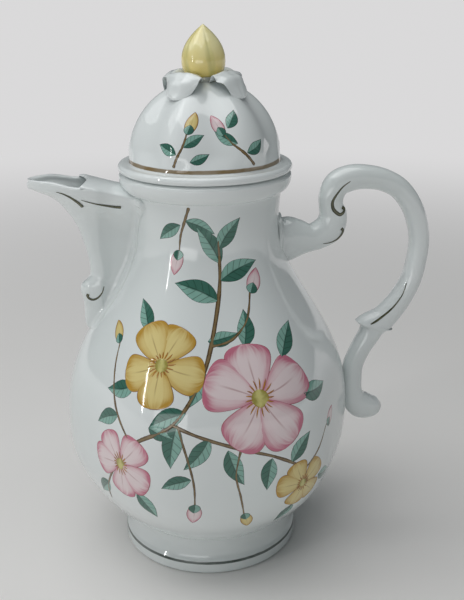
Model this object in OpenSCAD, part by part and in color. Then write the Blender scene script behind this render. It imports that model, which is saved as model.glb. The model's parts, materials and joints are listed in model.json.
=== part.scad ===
// Porcelain coffee pot: a lobed pear body on a round foot, a beak spout,
// a scroll handle and a domed lid with a bud finial. All sizes in millimetres.
// +Z is up and +X points to the handle. The origin is on the pot's axis, on
// the plane that the foot stands on.

/* [Body] */
// Height of the pot to the top of its rim, without the lid
pot_h = 186.5; // [155:0.5:225]
// Mean radius of the belly at its widest
belly_r = 67; // [55:0.5:82]
// Height of the belly's widest line
belly_z = 68; // [56:1:82]
// Mean radius of the neck at its narrowest
neck_r = 33.6; // [32:0.1:41]
// How far the neck's narrowest line lies under the rim ring
neck_drop = 16; // [10:1:24]
// How much the neck widens towards the rim ring
neck_flare = 1.2; // [0:0.1:3]
// Wall thickness of the body, measured level
wall = 3.2; // [2.5:0.1:4.5]
// Depth of the body's lobes, from mean to crest
lobe_depth = 1.6; // [0:0.1:2.6]
// Number of lobes on the body and the lid
lobe_count = 6; // [4:2:8]

/* [Rim] */
// How far the rim's rounded bead stands out from the neck
rim_out = 4.5; // [3:0.1:7]
// Height of the rim ring
rim_h = 8.5; // [7:0.1:12]
// How far the lip draws the mouth in from the neck's inside
lip_in = 1.3; // [0.4:0.1:3]

/* [Foot] */
// Height of the foot ring
foot_h = 18; // [12:0.5:22]
// Radius where the body joins the foot
foot_join_r = 41.5; // [37:0.1:48]
// How far the foot's waist is drawn in under the body
waist_in = 0.9; // [0.3:0.1:1.8]
// How far the foot's band stands out beyond the joint
band_out = 1.7; // [0.6:0.1:6]
// Thickness of the foot ring at the joint
foot_wall = 3.9; // [3.2:0.1:7]

/* [Spout] */
// How far the tip of the beak stands out from the neck
spout_out = 44.8; // [36:0.1:58]
// Half the width of the beak at its widest
beak_half_w = 14; // [11:0.1:16]
// Half the width of the web between the spout's nose and the wall
web_half_w = 5; // [4:0.1:6.5]
// Wall thickness of the spout
spout_wall = 2.2; // [1.8:0.1:3]
// Width of the pour opening through the body's wall
pour_w = 6; // [4:0.5:7]

/* [Handle] */
// Half the handle's depth at the bow
bow_half_d = 5.5; // [4.5:0.1:6.6]
// Half the handle's width
bow_half_w = 5.8; // [4.5:0.1:7.5]
// How far the bow stands out beyond the line between its two seats
bow_out = 68; // [56:1:82]

/* [Lid] */
// How far the lid's flange stands out beyond the rim's bead
flange_over = 0.3; // [-1:0.1:3]
// Height of the flange
flange_h = 3.8; // [3:0.1:5]
// Width of the flange's ledge round the dome
ledge_w = 5; // [3:0.1:6.5]
// Height of the dome
dome_h = 35.9; // [30:0.1:44]
// How much the dome flares out at its foot
dome_flare = 1.2; // [0:0.1:2]
// Wall thickness of the dome
dome_wall = 2.8; // [2.2:0.1:4]
// Depth of the lid's lobes
lid_lobe_depth = 1.3; // [0:0.1:1.8]
// Length of the tenon that locates the lid in the mouth
tenon_l = 8; // [5:0.5:14]
// Clearance between the tenon and the mouth, on the radius
tenon_clear = 1; // [0.6:0.1:1.6]
// Gap between the rim and the resting flange
seat_gap = 0.3; // [0.2:0.05:0.5]

/* [Finial] */
// Radius of the bud
bud_r = 9.8; // [8.6:0.1:11.5]
// Height of the bud
bud_h = 22; // [18:0.5:27]
// How far the leaves reach from the lid's axis
leaf_reach = 21; // [19:0.5:24]

/* [Hidden] */
$fn = 96;

around = 60;          // points round the body and the lid's dome
joint_gap = 0.05;     // glaze film where two fired pieces meet on a curve
edge_r = 0.9;         // softened corners on the turned rings

rim_z = pot_h - rim_h;
neck_z = rim_z - neck_drop;
neck_top_r = neck_r + neck_flare;
rim_r = neck_top_r + rim_out;
mouth_r = neck_top_r - wall - lip_in;
foot_r = foot_join_r + band_out;
foot_waist_r = foot_join_r - waist_in;
foot_bore_r = foot_join_r - foot_wall;
lid_z = pot_h + seat_gap;
flange_r = rim_r + flange_over;
dome_r = flange_r - ledge_w;
dome_z = lid_z + flange_h;
dome_flat_r = 6;      // the finial stands on this flat

// ---- Curves shared by the pieces ------------------------------------------

function mix(a, b, t) = a + (b - a) * t;
function ramp(x, a, b) = let (t = min(1, max(0, (x - a) / (b - a)))) t * t * (3 - 2 * t);

// Mean radius of the pear at height z: a full bowl below the belly, an S above it
function pear_r(z) =
    z < belly_z ? mix(belly_r, foot_join_r, pow((belly_z - z) / (belly_z - foot_h), 2.5)) :
    z < neck_z ? mix(neck_r, belly_r, (1 + cos(180 * pow((z - belly_z) / (neck_z - belly_z), 1.2))) / 2) :
    neck_r + neck_flare * pow((z - neck_z) / neck_drop, 2);

// The lobes fade out to round at the foot and at the rim
function lobe(z) = lobe_depth * ramp(z, foot_h, foot_h + 36) * ramp(rim_z - z, 0, 30)
    * mix(0.45, 1, (pear_r(z) - neck_r) / (belly_r - neck_r));

// Radius of the rim's bead at height z: round under its widest line, eased above it
bead_z = pot_h - 1.9;
function bead_r(z) = z < bead_z
    ? neck_top_r + (rim_r - neck_top_r) * sqrt(1 - pow((bead_z - z) / (bead_z - rim_z), 2))
    : rim_r - 1.2 * pow((z - bead_z) / (pot_h - bead_z), 2);

// Radius of the pot's outside in the direction a at height z
function wall_r(a, z) = z < rim_z
    ? pear_r(z) + lobe(z) * cos(lobe_count * a)
    : bead_r(min(z, pot_h));

function level_ring(z, inset) =
    [for (i = [0:around - 1]) let (a = 360 * i / around, r = wall_r(a, z) - inset)
        [r * cos(a), r * sin(a), z]];
function round_ring(r, z) =
    [for (i = [0:around - 1]) let (a = 360 * i / around) [r * cos(a), r * sin(a), z]];

// Spaces rings from 0 to 1, closer at the start by the given share
function closer_below(t, share) = share * t * t + (1 - share) * t;
wall_steps = 26;
wall_levels = [for (i = [0:wall_steps]) foot_h + (rim_z - foot_h) * closer_below(i / wall_steps, 0.62)];
// Radius of the flat faces between the wall's rings, in the direction a at height z
function face_r(a, z) =
    z <= foot_h || z >= rim_z ? wall_r(a, z) :
    let (i = max([for (k = [0:wall_steps - 1]) wall_levels[k] <= z ? k : 0]), low = wall_levels[i],
         high = wall_levels[i + 1])
    mix(wall_r(a, low), wall_r(a, high), (z - low) / (high - low));

// Moves a point that lies inside the pot's wall out to its surface
function seated(p, gap = joint_gap) =
    let (a = atan2(p.y, p.x), r = norm([p.x, p.y]), w = face_r(a, p.z) + gap)
    r < w ? [w * cos(a), w * sin(a), p.z] : p;

// Closed skin over a row of rings. An end with a point closes as a fan round it;
// an end without one closes across, from each half of its ring to the other
module skin(rings, first = undef, last = undef) {
    n = len(rings[0]);
    rows = len(rings);
    tail = (rows - 1) * n;
    points = concat([for (r = rings) each r], [is_undef(first) ? rings[0][0] : first],
                    [is_undef(last) ? rings[0][0] : last]);
    sides = [for (i = [0:rows - 2], j = [0:n - 1]) let (k = (j + 1) % n)
        each [[i * n + j, (i + 1) * n + j, (i + 1) * n + k], [i * n + j, (i + 1) * n + k, i * n + k]]];
    start = is_undef(first)
        ? [for (j = [0:n / 2 - 2]) each [[j, j + 1, n - 2 - j], [j, n - 2 - j, n - 1 - j]]]
        : [for (j = [0:n - 1]) [rows * n, j, (j + 1) % n]];
    end = is_undef(last)
        ? [for (j = [0:n / 2 - 2]) each [[tail + j, tail + n - 2 - j, tail + j + 1],
                                         [tail + j, tail + n - 1 - j, tail + n - 2 - j]]]
        : [for (j = [0:n - 1]) [rows * n + 1, tail + (j + 1) % n, tail + j]];
    polyhedron(points, concat(start, sides, end), convexity = 6);
}

// Smooth curve through a list of stations; t counts stations from 0
function station(s, i) = s[min(len(s) - 1, max(0, i))];
function curve(s, t) =
    let (i = min(len(s) - 2, floor(t)), f = t - i,
         a = station(s, i - 1), b = station(s, i), c = station(s, i + 1), d = station(s, i + 2))
    b + f * (c - a) / 2 + f * f * (a - 2.5 * b + 2 * c - d / 2) + f * f * f * (1.5 * (b - c) + (d - a) / 2);

// Ring across a loft in the XZ plane. A station is [x, z, half depth, half width, bow]:
// depth lies in the plane, width across it, and bow bends the width down at its edges
function loft_ring(s, t, sides) =
    let (p = curve(s, t), d = curve(s, min(t + 0.05, len(s) - 1)) - curve(s, max(t - 0.05, 0)),
         l = norm([d[0], d[1]]), nx = d[1] / l, nz = -d[0] / l)
    [for (k = [0:sides - 1]) let (a = 360 * k / sides, n = p[2] * cos(a) + p[4] * pow(sin(a), 2))
        [p[0] + n * nx, p[3] * sin(a), p[1] + n * nz]];
function middle(ring) = [for (c = [0:2]) (max([for (p = ring) p[c]]) + min([for (p = ring) p[c]])) / 2];

// ---- Pot --------------------------------------------------------------------

base_dip = 5.5;       // how far the base bulges down inside the foot ring
floor_rise = 3.6;     // floor thickness over that bulge

module pour_slot() {
    pour_low = neck_z - 11;
    pour_high = rim_z - 3;
    rotate([0, -90, 0]) linear_extrude(neck_r + 20) {
        for (x = [pour_low + pour_w / 2, pour_high - pour_w / 2]) translate([x, 0]) circle(d = pour_w);
        translate([pour_low + pour_w / 2, -pour_w / 2]) square([pour_high - pour_low - pour_w, pour_w]);
    }
}

module body_shell() {
    bowl_z = foot_h + 6;
    inner = [for (i = [15:-1:0]) bowl_z + (rim_z - bowl_z) * closer_below(i / 15, 0.5)];
    base = foot_h - base_dip;
    base_r = foot_bore_r - 0.6;
    color("whitesmoke") difference() {
        skin(concat(
                [round_ring(base_r * 0.55, base + 0.9), round_ring(base_r * 0.88, base + 2.6),
                 round_ring(base_r, foot_h)],
                [for (z = wall_levels) level_ring(z, 0)],
                [for (z = inner) level_ring(z, wall)],
                [round_ring(foot_join_r - 5, base + floor_rise + 3.2),
                 round_ring(base_r * 0.5, base + floor_rise + 0.8)]),
            [0, 0, base], [0, 0, base + floor_rise]);
        pour_slot();
    }
}

module foot_ring() {
    band_z = 6.6;
    waist_z = 13;
    cove = [for (t = [0:0.125:1]) [mix(foot_waist_r, foot_r, t * t), mix(waist_z, band_z, t)]];
    neck = [for (t = [0:0.25:1])
        [mix(foot_join_r - 0.2, foot_waist_r, sin(90 * t)), mix(foot_h, waist_z + 0.6, t)]];
    toe = [for (a = [0:22.5:90]) [foot_r - 1.6 + 1.6 * cos(a), 1.6 - 1.6 * sin(a)]];
    heel = [for (a = [0:22.5:90]) [foot_bore_r + 1.4 - 1.4 * sin(a), 1.4 - 1.4 * cos(a)]];
    color("whitesmoke") rotate_extrude()
        polygon(concat(neck, cove, toe, heel, [[foot_bore_r, foot_h]]));
}

module rim_ring() {
    inside = neck_top_r - wall;
    under = [for (i = [0:10]) let (z = rim_z + (bead_z - rim_z) * (1 - cos(9 * i))) [bead_r(z), z]];
    over = [for (i = [1:4]) let (z = mix(bead_z, pot_h, i / 4)) [bead_r(z), z]];
    lip = [for (a = [0:22.5:90]) [mouth_r + edge_r - edge_r * sin(a), pot_h - edge_r + edge_r * cos(a)]];
    color("whitesmoke") rotate_extrude()
        polygon(concat(under, over, lip, [[mouth_r, rim_z + 2], [inside, rim_z]]));
}

// ---- Spout --------------------------------------------------------------------

ledge_z = pot_h - 5.5;         // highest level slice, before the slices stretch up to the brim
stretch_z = ledge_z - 12;      // the slices above this level stretch
bridge_front = neck_top_r + 18.7;
bridge_rake = 3.2;             // how far the bridge's ends reach out beyond its crown
bridge_end = bridge_front + bridge_rake + 0.2;
cheek = neck_top_r + 14.7;     // where the cheeks start to close towards the keel
floor_z = neck_z - 14;         // lowest point of the channel
spout_low = ledge_z - 68;      // tip of the pendant under the scroll
drawn_out = 44.8;              // stand-out and half width that the keel line is drawn with
drawn_half = 14;

// Keel line: [height above the pendant's tip, stand-out from the wall, half width]
keel = [[0, 0.8, 2.2], [1.8, 2.6, 3.2], [4.7, 4.9, 3.9], [8.6, 7.2, 4.4], [12.5, 9.6, 4.8], [16, 12.2, 5.6],
        [19.4, 14.9, 6.2], [22.4, 16, 6.4], [24.4, 14.8, 6.2], [26.8, 14.3, 6], [30.3, 15.8, 6],
        [35.1, 18.1, 6], [39.9, 20.6, 6], [44.7, 22.9, 6.1], [49.5, 24.8, 6.6], [54.3, 27.2, 7.7],
        [57.4, 29.6, 9], [60.1, 32.3, 10.5], [61.7, 34.6, 11.5], [63.2, 37.3, 12.4], [64.3, 40.1, 13],
        [65, 42.3, 13.3], [66.3, 44.1, 13.7], [68, 44.8, 14], [72, 44.8, 14]];
function keel_row(h) = max([for (k = [0:len(keel) - 2]) keel[k][0] <= h ? k : 0]);
function keel_part(h, i) = min(1, max(0, (h - keel[i][0]) / (keel[i + 1][0] - keel[i][0])));
function keel_value(h) = let (i = keel_row(h)) curve(keel, i + keel_part(h, i));
function upper_part(h) = ramp(h, 40, 66);
// Distance of the keel from the axis, and half the spout's width, at height z
function keel_u(z) = let (h = z - spout_low)
    wall_r(180, min(z, rim_z - 0.1)) + keel_value(h)[1] * mix(1, spout_out / drawn_out, upper_part(h));
function keel_w(z) = let (h = z - spout_low)
    keel_value(h)[2] * mix(1, beak_half_w / drawn_half, upper_part(h));
function root_half_w(z) = let (h = z - spout_low)
    mix(web_half_w * mix(0.7, 1, ramp(h, 2, 20)), beak_half_w - 0.5, ramp(h, 46, 66));
// The beak's end is round low on the keel and pointed at the lip
function end_power(z) = mix(0.5, 0.75, ramp(z, ledge_z - 22, ledge_z));

// Outline of one level slice from the wall to the keel, on the side +Y
function cheek_w(u, z, tip, half, root, edge) =
    let (start = min(cheek, tip - half))
    u < start
        ? mix(root, half, ramp(u, edge, start)) * (1 - 0.1 * sin(180 * (u - edge) / (start - edge)))
        : half * pow(max(0, 1 - pow((u - start) / (tip - start), 2)), end_power(z));

// Height of the spout's top edge at a distance u from the axis: the ledge under the
// bridge slopes up from the rim, and the beak's lip rises a little further to its tip
beak_tip = neck_top_r + spout_out;
function brim(u) =
    pot_h - mix(8.2, 3.3, min(1, (u - rim_r) / (bridge_end - rim_r)))
    + 2.4 * ramp(u, bridge_end, beak_tip - 8);
function lifted(u, y, z) =
    seated([-u, y, z < stretch_z ? z : mix(stretch_z, brim(u), (z - stretch_z) / (ledge_z - stretch_z))]);

half_pts = 9;         // steps along one side of a slice, the first three of them beside the bridge
function side_pts(z, tip, half, root, edge) =
    let (split = mix(mix(edge, tip, 0.36), bridge_end, ramp(z, ledge_z - 14, ledge_z - 2)))
    [for (k = [0:half_pts])
        let (u = k <= 3 ? mix(edge, split, k / 3) : mix(split, tip, sin(90 * (k - 3) / (half_pts - 3))))
        [u, cheek_w(u, z, tip, half, root, edge)]];
sunk = 3.2;           // how deep the slices start behind the wall's surface at the middle
function slice(z) =
    let (edge = wall_r(180, z) - sunk, tip = max(keel_u(z), edge + sunk + 0.8), half = keel_w(z),
         root = root_half_w(z), open = ramp(z, floor_z, floor_z + 10),
         hollow = max(edge + 0.5, min(tip - spout_wall - 0.6, keel_u(z - 2.2))),
         out = side_pts(z, tip, half, root, edge),
         channel = side_pts(z, hollow, min(half, root) - spout_wall, root - spout_wall, edge),
         back = [for (k = [0:half_pts]) [edge, (root - spout_wall / 2) * (1 - k / half_pts)]],
         in = [for (k = [0:half_pts]) mix(back[k], channel[k], open)])
    concat(
        [for (k = [0:half_pts]) lifted(out[k][0], out[k][1], z)],
        [for (k = [half_pts - 1:-1:0]) lifted(out[k][0], -out[k][1], z)],
        [for (k = [0:half_pts]) lifted(in[k][0], -in[k][1], z)],
        [for (k = [half_pts - 1:-1:0]) lifted(in[k][0], in[k][1], z)]);

module spout() {
    steps = 33;       // closer towards the beak, where the keel runs flat
    rings = [for (i = [0:steps]) slice(mix(ledge_z, spout_low, pow(1 - i / steps, 1.25)))];
    color("whitesmoke") skin(rings);
}

bridge_t = 2.2;                // thickness of the bridge over the channel
bridge_rise = 3.2;             // height of its arch over the ledges
module spout_bridge() {
    edge = wall_r(180, ledge_z) - 2.2;
    tip = keel_u(ledge_z);
    half = keel_w(ledge_z);
    root = root_half_w(ledge_z);
    round_u = bridge_front - 2;
    stops = concat([for (t = [0:0.2:1]) mix(edge, round_u, t)],
                   [for (a = [30:20:90]) round_u + 2 * sin(a)]);
    function arch(u, a, rise, inset) =
        let (v = u + bridge_rake * pow(sin(a), 2) * (u - edge) / (bridge_front - edge),
             b = cheek_w(v, ledge_z, tip, half, root, edge) - inset)
        seated([-v, b * sin(a), brim(v) + rise * cos(a)], 0.25);
    rings = [for (u = stops)
        let (front = u > round_u ? sqrt(max(0, 1 - pow((u - round_u) / 2, 2))) : 1,
             top = bridge_rise * mix(0.62, 1, front),
             under = max(0.4, top - bridge_t * mix(0.35, 1, front)))
        concat([for (a = [-90:15:90]) arch(u, a, top, 0)],
               [for (a = [90:-15:-90]) arch(u, a, under, spout_wall)])];
    color("whitesmoke") skin(rings);
}

// ---- Handle -------------------------------------------------------------------

seat_low = belly_z + 4;
seat_high = neck_z - 10;
function seat_line(z) =
    mix(wall_r(0, seat_low), wall_r(0, seat_high), (z - seat_low) / (seat_high - seat_low));
drawn_bow = 68;       // stand-out and half sizes that the stations are drawn with
drawn_d = 5.5;
drawn_w = 5.8;
// Station of the handle: [out from the seat line, height as a share of the span, half depth, half width]
function grip(out, share, d, w) =
    [seat_line(mix(seat_low, seat_high, share)) + out * bow_out / drawn_bow,
     mix(seat_low, seat_high, share), d * bow_half_d / drawn_d, w * bow_half_w / drawn_w, 0];

handle_stations = [
    grip(0.4, 0.994, 10.6, 7.8), grip(4.6, 1, 10.5, 7.4), grip(9, 1, 8.9, 6.6),
    grip(14, 0.998, 6.8, 6), grip(18, 1.008, 6.7, 5.8), grip(24.9, 1.05, 7.3, 5.8),
    grip(29.1, 1.12, 6.8, 5.6), grip(30.3, 1.188, 5.9, 5.4), grip(32.3, 1.25, 6, 5.6),
    grip(37, 1.313, 6.2, 5.8), grip(43.6, 1.344, 6.2, 5.8), grip(50.8, 1.35, 5.8, 5.8),
    grip(59.7, 1.327, 5.4, 5.7), grip(66.5, 1.262, 5.2, 5.6), grip(69.4, 1.137, 5.1, 5.5),
    grip(67.7, 0.975, 4.9, 5.5), grip(62.2, 0.825, 4.9, 5.5), grip(55.3, 0.69, 5, 5.6),
    grip(45.6, 0.562, 5.6, 5.7), grip(36, 0.466, 7.2, 5.8), grip(32.2, 0.437, 8.2, 5.8),
    grip(28.8, 0.416, 10.4, 5.8), grip(26.9, 0.387, 7, 5.6), grip(23.8, 0.345, 5.6, 5.5),
    grip(18.8, 0.283, 5, 5.4), grip(14.2, 0.218, 4.9, 5.3), grip(10.1, 0.15, 5, 5.3),
    grip(6.9, 0.063, 5, 5.4), grip(4.5, -0.019, 5.2, 5.5), grip(3.9, -0.081, 6.4, 5.6),
    grip(5.9, -0.125, 7, 5.8), grip(9.9, -0.139, 6.1, 5.8), grip(13.8, -0.14, 4.4, 4.6),
    grip(16, -0.139, 1.6, 2)];

module handle() {
    steps = 2 * (len(handle_stations) - 1);
    rings = [for (i = [0:steps]) [for (p = loft_ring(handle_stations, i / 2, 16)) seated(p)]];
    color("whitesmoke") skin(rings, seated(middle(rings[0])), middle(rings[steps]));
}

// ---- Lid ----------------------------------------------------------------------

// Height over its foot of a dome of the given height and radius, at radius r
function dome_at(r, z_up, size) = z_up * sqrt(1 - pow(r / size, 2));
function dome_ring(r, z_up, size, flare) =
    [for (i = [0:around - 1]) let (a = 360 * i / around, h = dome_at(r, z_up, size),
        fade = ramp(h, 0, 8) * ramp(r, dome_flat_r, dome_flat_r + 12),
        foot = flare * pow(max(0, 1 - h / 9), 2),
        q = r + foot + lid_lobe_depth * fade * cos(lobe_count * a)) [q * cos(a), q * sin(a), dome_z + h]];

module lid_dome() {
    round_r = dome_r - dome_flare;
    outer = [for (i = [0:11]) round_r * cos(90 * i / 12)];
    inside_r = round_r - dome_wall;
    inside_h = dome_h - dome_wall - 0.4;
    inner = [for (i = [9:-1:0]) inside_r * cos(90 * i / 10)];
    top = dome_z + dome_at(dome_flat_r, dome_h, round_r);
    color("whitesmoke") skin(
        concat(
            [for (r = inner) dome_ring(r, inside_h, inside_r, dome_flare)],
            [for (r = outer) if (r > dome_flat_r) dome_ring(r, dome_h, round_r, dome_flare)],
            [round_ring(dome_flat_r, top)]),
        [0, 0, dome_z + inside_h], [0, 0, top]);
}

module lid_flange() {
    tenon_r = mouth_r - tenon_clear;
    tenon_in = tenon_r - dome_wall;
    roll = [for (a = [-80:20:80]) [flange_r - 1.7 + 1.7 * cos(a), lid_z + 1.9 + 1.9 * sin(a)]];
    color("whitesmoke") rotate_extrude()
        polygon(concat(
            [[tenon_in, lid_z - tenon_l + 1], [tenon_in + 1, lid_z - tenon_l], [tenon_r - 1, lid_z - tenon_l],
             [tenon_r, lid_z - tenon_l + 1], [tenon_r, lid_z], [flange_r - 2, lid_z]],
            roll,
            [[dome_r + 0.1, dome_z], [dome_r - dome_wall, dome_z], [tenon_in + 1.6, lid_z + 1.6],
             [tenon_in, lid_z]]));
}

calyx_h = 1.8;
calyx_r = 5.4;
bud_z = dome_z + dome_at(dome_flat_r, dome_h, dome_r - dome_flare) + calyx_h;

module finial_calyx() {
    color("whitesmoke") translate([0, 0, bud_z - calyx_h]) cylinder(h = calyx_h, r = calyx_r);
}

module finial_leaf(i) {
    // Each leaf springs from under the bud, arches and droops to the dome
    tip_z = dome_z + dome_at(leaf_reach, dome_h, dome_r - dome_flare);
    t = 0.8;
    s = [[calyx_r + 0.8, bud_z - 0.95, t, 3.8, 0], [8.4, bud_z - 0.25, t, 5.7, 0.3],
         [11.4, bud_z + 1.9, t, 7.8, 1], [14.6, bud_z + 1.8, t, 9.2, 1.8],
         [leaf_reach - 3.4, bud_z - 0.8, t, 8.4, 2],
         [leaf_reach - 1.2, mix(tip_z, bud_z, 0.35), t, 5.4, 1.2], [leaf_reach, tip_z + 1.2, 0.6, 1.2, 0]];
    steps = 2 * (len(s) - 1);
    rings = [for (k = [0:steps]) loft_ring(s, k / 2, 12)];
    color("whitesmoke") rotate([0, 0, 90 * i - 45]) skin(rings, middle(rings[0]), middle(rings[steps]));
}

module finial_bud() {
    swell = 6.5;      // height from the bud's underside to its widest line
    under = [for (a = [0:15:90]) [6 + (bud_r - 6) * sin(a), bud_z + swell * (1 - cos(a))]];
    over = [for (t = [0.1:0.1:1]) [bud_r * (1 - pow(t, 2.1)), bud_z + mix(swell, bud_h, t)]];
    color("khaki") rotate_extrude() polygon(concat([[0, bud_z]], under, over));
}

body_shell();
foot_ring();
rim_ring();
spout();
spout_bridge();
handle();
lid_dome();
lid_flange();
finial_calyx();
for (i = [1:4]) finial_leaf(i);
finial_bud();
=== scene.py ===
import json

import bpy
import numpy as np
from mathutils import Matrix, Vector

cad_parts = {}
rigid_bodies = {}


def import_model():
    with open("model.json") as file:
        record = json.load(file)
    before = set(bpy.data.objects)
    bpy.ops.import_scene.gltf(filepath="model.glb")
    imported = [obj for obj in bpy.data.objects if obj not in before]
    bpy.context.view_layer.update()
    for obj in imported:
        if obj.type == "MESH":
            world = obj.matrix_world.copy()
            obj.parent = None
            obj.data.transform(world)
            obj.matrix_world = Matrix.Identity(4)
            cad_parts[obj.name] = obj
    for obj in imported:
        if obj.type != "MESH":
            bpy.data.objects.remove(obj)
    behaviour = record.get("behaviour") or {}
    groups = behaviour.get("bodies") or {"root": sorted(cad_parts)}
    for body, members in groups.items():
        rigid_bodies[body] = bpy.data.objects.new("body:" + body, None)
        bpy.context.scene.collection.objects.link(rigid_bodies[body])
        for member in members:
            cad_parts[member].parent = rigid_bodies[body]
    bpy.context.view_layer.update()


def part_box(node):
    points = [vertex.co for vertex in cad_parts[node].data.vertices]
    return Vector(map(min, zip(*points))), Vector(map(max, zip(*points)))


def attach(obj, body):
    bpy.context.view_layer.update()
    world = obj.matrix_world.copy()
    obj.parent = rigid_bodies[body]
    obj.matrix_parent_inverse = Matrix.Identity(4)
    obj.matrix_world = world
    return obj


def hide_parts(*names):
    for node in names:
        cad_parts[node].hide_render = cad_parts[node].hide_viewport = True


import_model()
print("frame loaded")

millimetre = 0.001
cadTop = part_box("rim_ring")[1].z / millimetre       # level of the pot's rim
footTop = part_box("foot_ring")[1].z / millimetre     # level where the body meets its foot


def mix(low, high, share):
    return low + (high - low) * share


# smooth step: 0 below low, 1 above high, t * t * (3 - 2t) between
def ramp(x, low, high):
    t = np.clip((x - low) / (high - low), 0, 1)
    return t * t * (3 - 2 * t)


# Catmull-Rom: a cubic between neighbouring stations that keeps their slopes; t counts stations
def smoothCurve(stations, t):
    stations = np.asarray(stations, float)
    i = np.clip(np.floor(t).astype(int), 0, len(stations) - 2)
    f = (t - i)[..., None]
    a, b, c, d = (stations[np.clip(i + k, 0, len(stations) - 1)] for k in (-1, 0, 1, 2))
    bend = f ** 2 * (a - 2.5 * b + 2 * c - d / 2) + f ** 3 * (1.5 * (b - c) + (d - a) / 2)
    return b + f * (c - a) / 2 + bend


# the angles of a full turn in radians
def fullTurn(count):
    return np.linspace(0, 2 * np.pi, count, endpoint=False)


# points at radius r, angle a and height z
def polar(r, a, z):
    return np.stack(np.broadcast_arrays(r * np.cos(a), r * np.sin(a), z), axis=-1)


# vectors shortened or stretched to length 1
def unit(vectors):
    return vectors / np.linalg.norm(vectors, axis=-1, keepdims=True)


# length along a line from its first point to each of its points
def lengthAlong(line):
    steps = np.linalg.norm(np.diff(line, axis=0), axis=1)
    return np.concatenate([[0], np.cumsum(steps)])


# the point at each length s along a line, straight between its own points
def pointsAlong(line, s):
    own = lengthAlong(line)
    return np.stack([np.interp(s, own, line[:, k]) for k in range(line.shape[1])], axis=-1)


# each point becomes the average of its neighbours, weighted by a bell curve exp(-distance^2 / 2 blur^2)
def soften(line, blur, step):
    total = lengthAlong(line)[-1]
    even = pointsAlong(line, np.linspace(0, total, int(total / step) + 1))
    reach = int(3 * blur / step)
    weights = np.exp(-0.5 * (np.arange(-reach, reach + 1) * step / blur) ** 2)
    weights /= weights.sum()
    before = 2 * even[0] - even[reach:0:-1]
    after = 2 * even[-1] - even[-2:-reach - 2:-1]
    padded = np.concatenate([before, even, after])
    return np.stack([np.convolve(padded[:, k], weights, "valid") for k in range(2)], axis=-1)


# count points along a line, closer together near its ends
def easedPoints(line, count, ease=0.7):
    t = np.linspace(0, 1, count)
    eased = mix(t, (1 - np.cos(np.pi * t)) / 2, ease)
    return pointsAlong(line, eased * lengthAlong(line)[-1])


# points of a circle in the (radius, height) plane, from one angle in degrees to another
def arc(r, z, size, start, end, count):
    a = np.radians(np.linspace(start, end, count))
    return np.stack([r + size * np.cos(a), z + size * np.sin(a)], axis=-1)


# quads between the rows of an index grid, whose columns join up round it; its rows do so too if asked
def quadsBetween(index, joinRows=False):
    index = np.concatenate([index, index[:, :1]], axis=1)
    if joinRows:
        index = np.concatenate([index, index[:1]], axis=0)
    corners = [index[:-1, :-1], index[:-1, 1:], index[1:, 1:], index[1:, :-1]]
    return np.stack(corners, axis=-1).reshape(-1, 4)


# six times the signed volume that the faces enclose; it is negative if they point inwards
def enclosed(points, faces):
    a, b, c = points[faces[:, 0]], points[faces[:, 1]], points[faces[:, 2]]
    volume = np.einsum("ij,ij->i", a, np.cross(b, c)).sum()
    if faces.shape[1] == 4:
        d = points[faces[:, 3]]
        volume += np.einsum("ij,ij->i", a, np.cross(c, d)).sum()
    return volume


# puts points in millimetres and faces into a new object that rides on a body, stands for CAD nodes and
# fills a slot; uv and edge are a painted stroke's flat coordinates and its distances from the edge
def makePiece(name, points, faceSets, finish, body, stands=(), uv=None, edge=None):
    total = sum(enclosed(points, faces) for faces in faceSets if len(faces))
    order = slice(None) if total >= 0 else slice(None, None, -1)
    loops = np.concatenate([faces[:, order].ravel() for faces in faceSets]).astype(np.int32)
    sizes = np.concatenate([np.full(len(faces), faces.shape[1]) for faces in faceSets])
    mesh = bpy.data.meshes.new(name)
    mesh.vertices.add(len(points))
    mesh.vertices.foreach_set("co", (points * millimetre).astype(np.float32).ravel())
    mesh.loops.add(len(loops))
    mesh.loops.foreach_set("vertex_index", loops)
    mesh.polygons.add(len(sizes))
    mesh.polygons.foreach_set("loop_start", np.concatenate([[0], np.cumsum(sizes)[:-1]]).astype(np.int32))
    mesh.update(calc_edges=True)
    mesh.polygons.foreach_set("use_smooth", np.ones(len(sizes), bool))
    if uv is not None:
        layer = mesh.uv_layers.new(name="paintMap")
        layer.data.foreach_set("uv", uv[loops].astype(np.float32).ravel())
    if edge is not None:
        own = mesh.attributes.new("edgeDistance", "FLOAT", "POINT")
        own.data.foreach_set("value", edge.astype(np.float32))
    mesh.validate()
    mesh.materials.append(finish)
    piece = bpy.data.objects.new(name, mesh)
    bpy.context.scene.collection.objects.link(piece)
    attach(piece, body)
    if stands:
        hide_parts(*stands)
    return piece


# rows of closed rings become one skin; an end closes as a fan round its point, or the rows join up
def ringSkin(rings, first=None, last=None, joinRows=False):
    rows, around = rings.shape[:2]
    index = np.arange(rows * around).reshape(rows, around)
    points, faceSets = [rings.reshape(-1, 3)], [quadsBetween(index, joinRows)]
    for row, pole, turn in ((index[0], first, -1), (index[-1], last, 1)):
        if pole is None:
            continue
        centre = sum(len(p) for p in points)
        points.append(np.asarray(pole, float).reshape(1, 3))
        fan = np.stack([row, np.roll(row, -1), np.full(around, centre)], axis=-1)
        faceSets.append(fan[:, ::turn])
    return np.concatenate(points), faceSets


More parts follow.
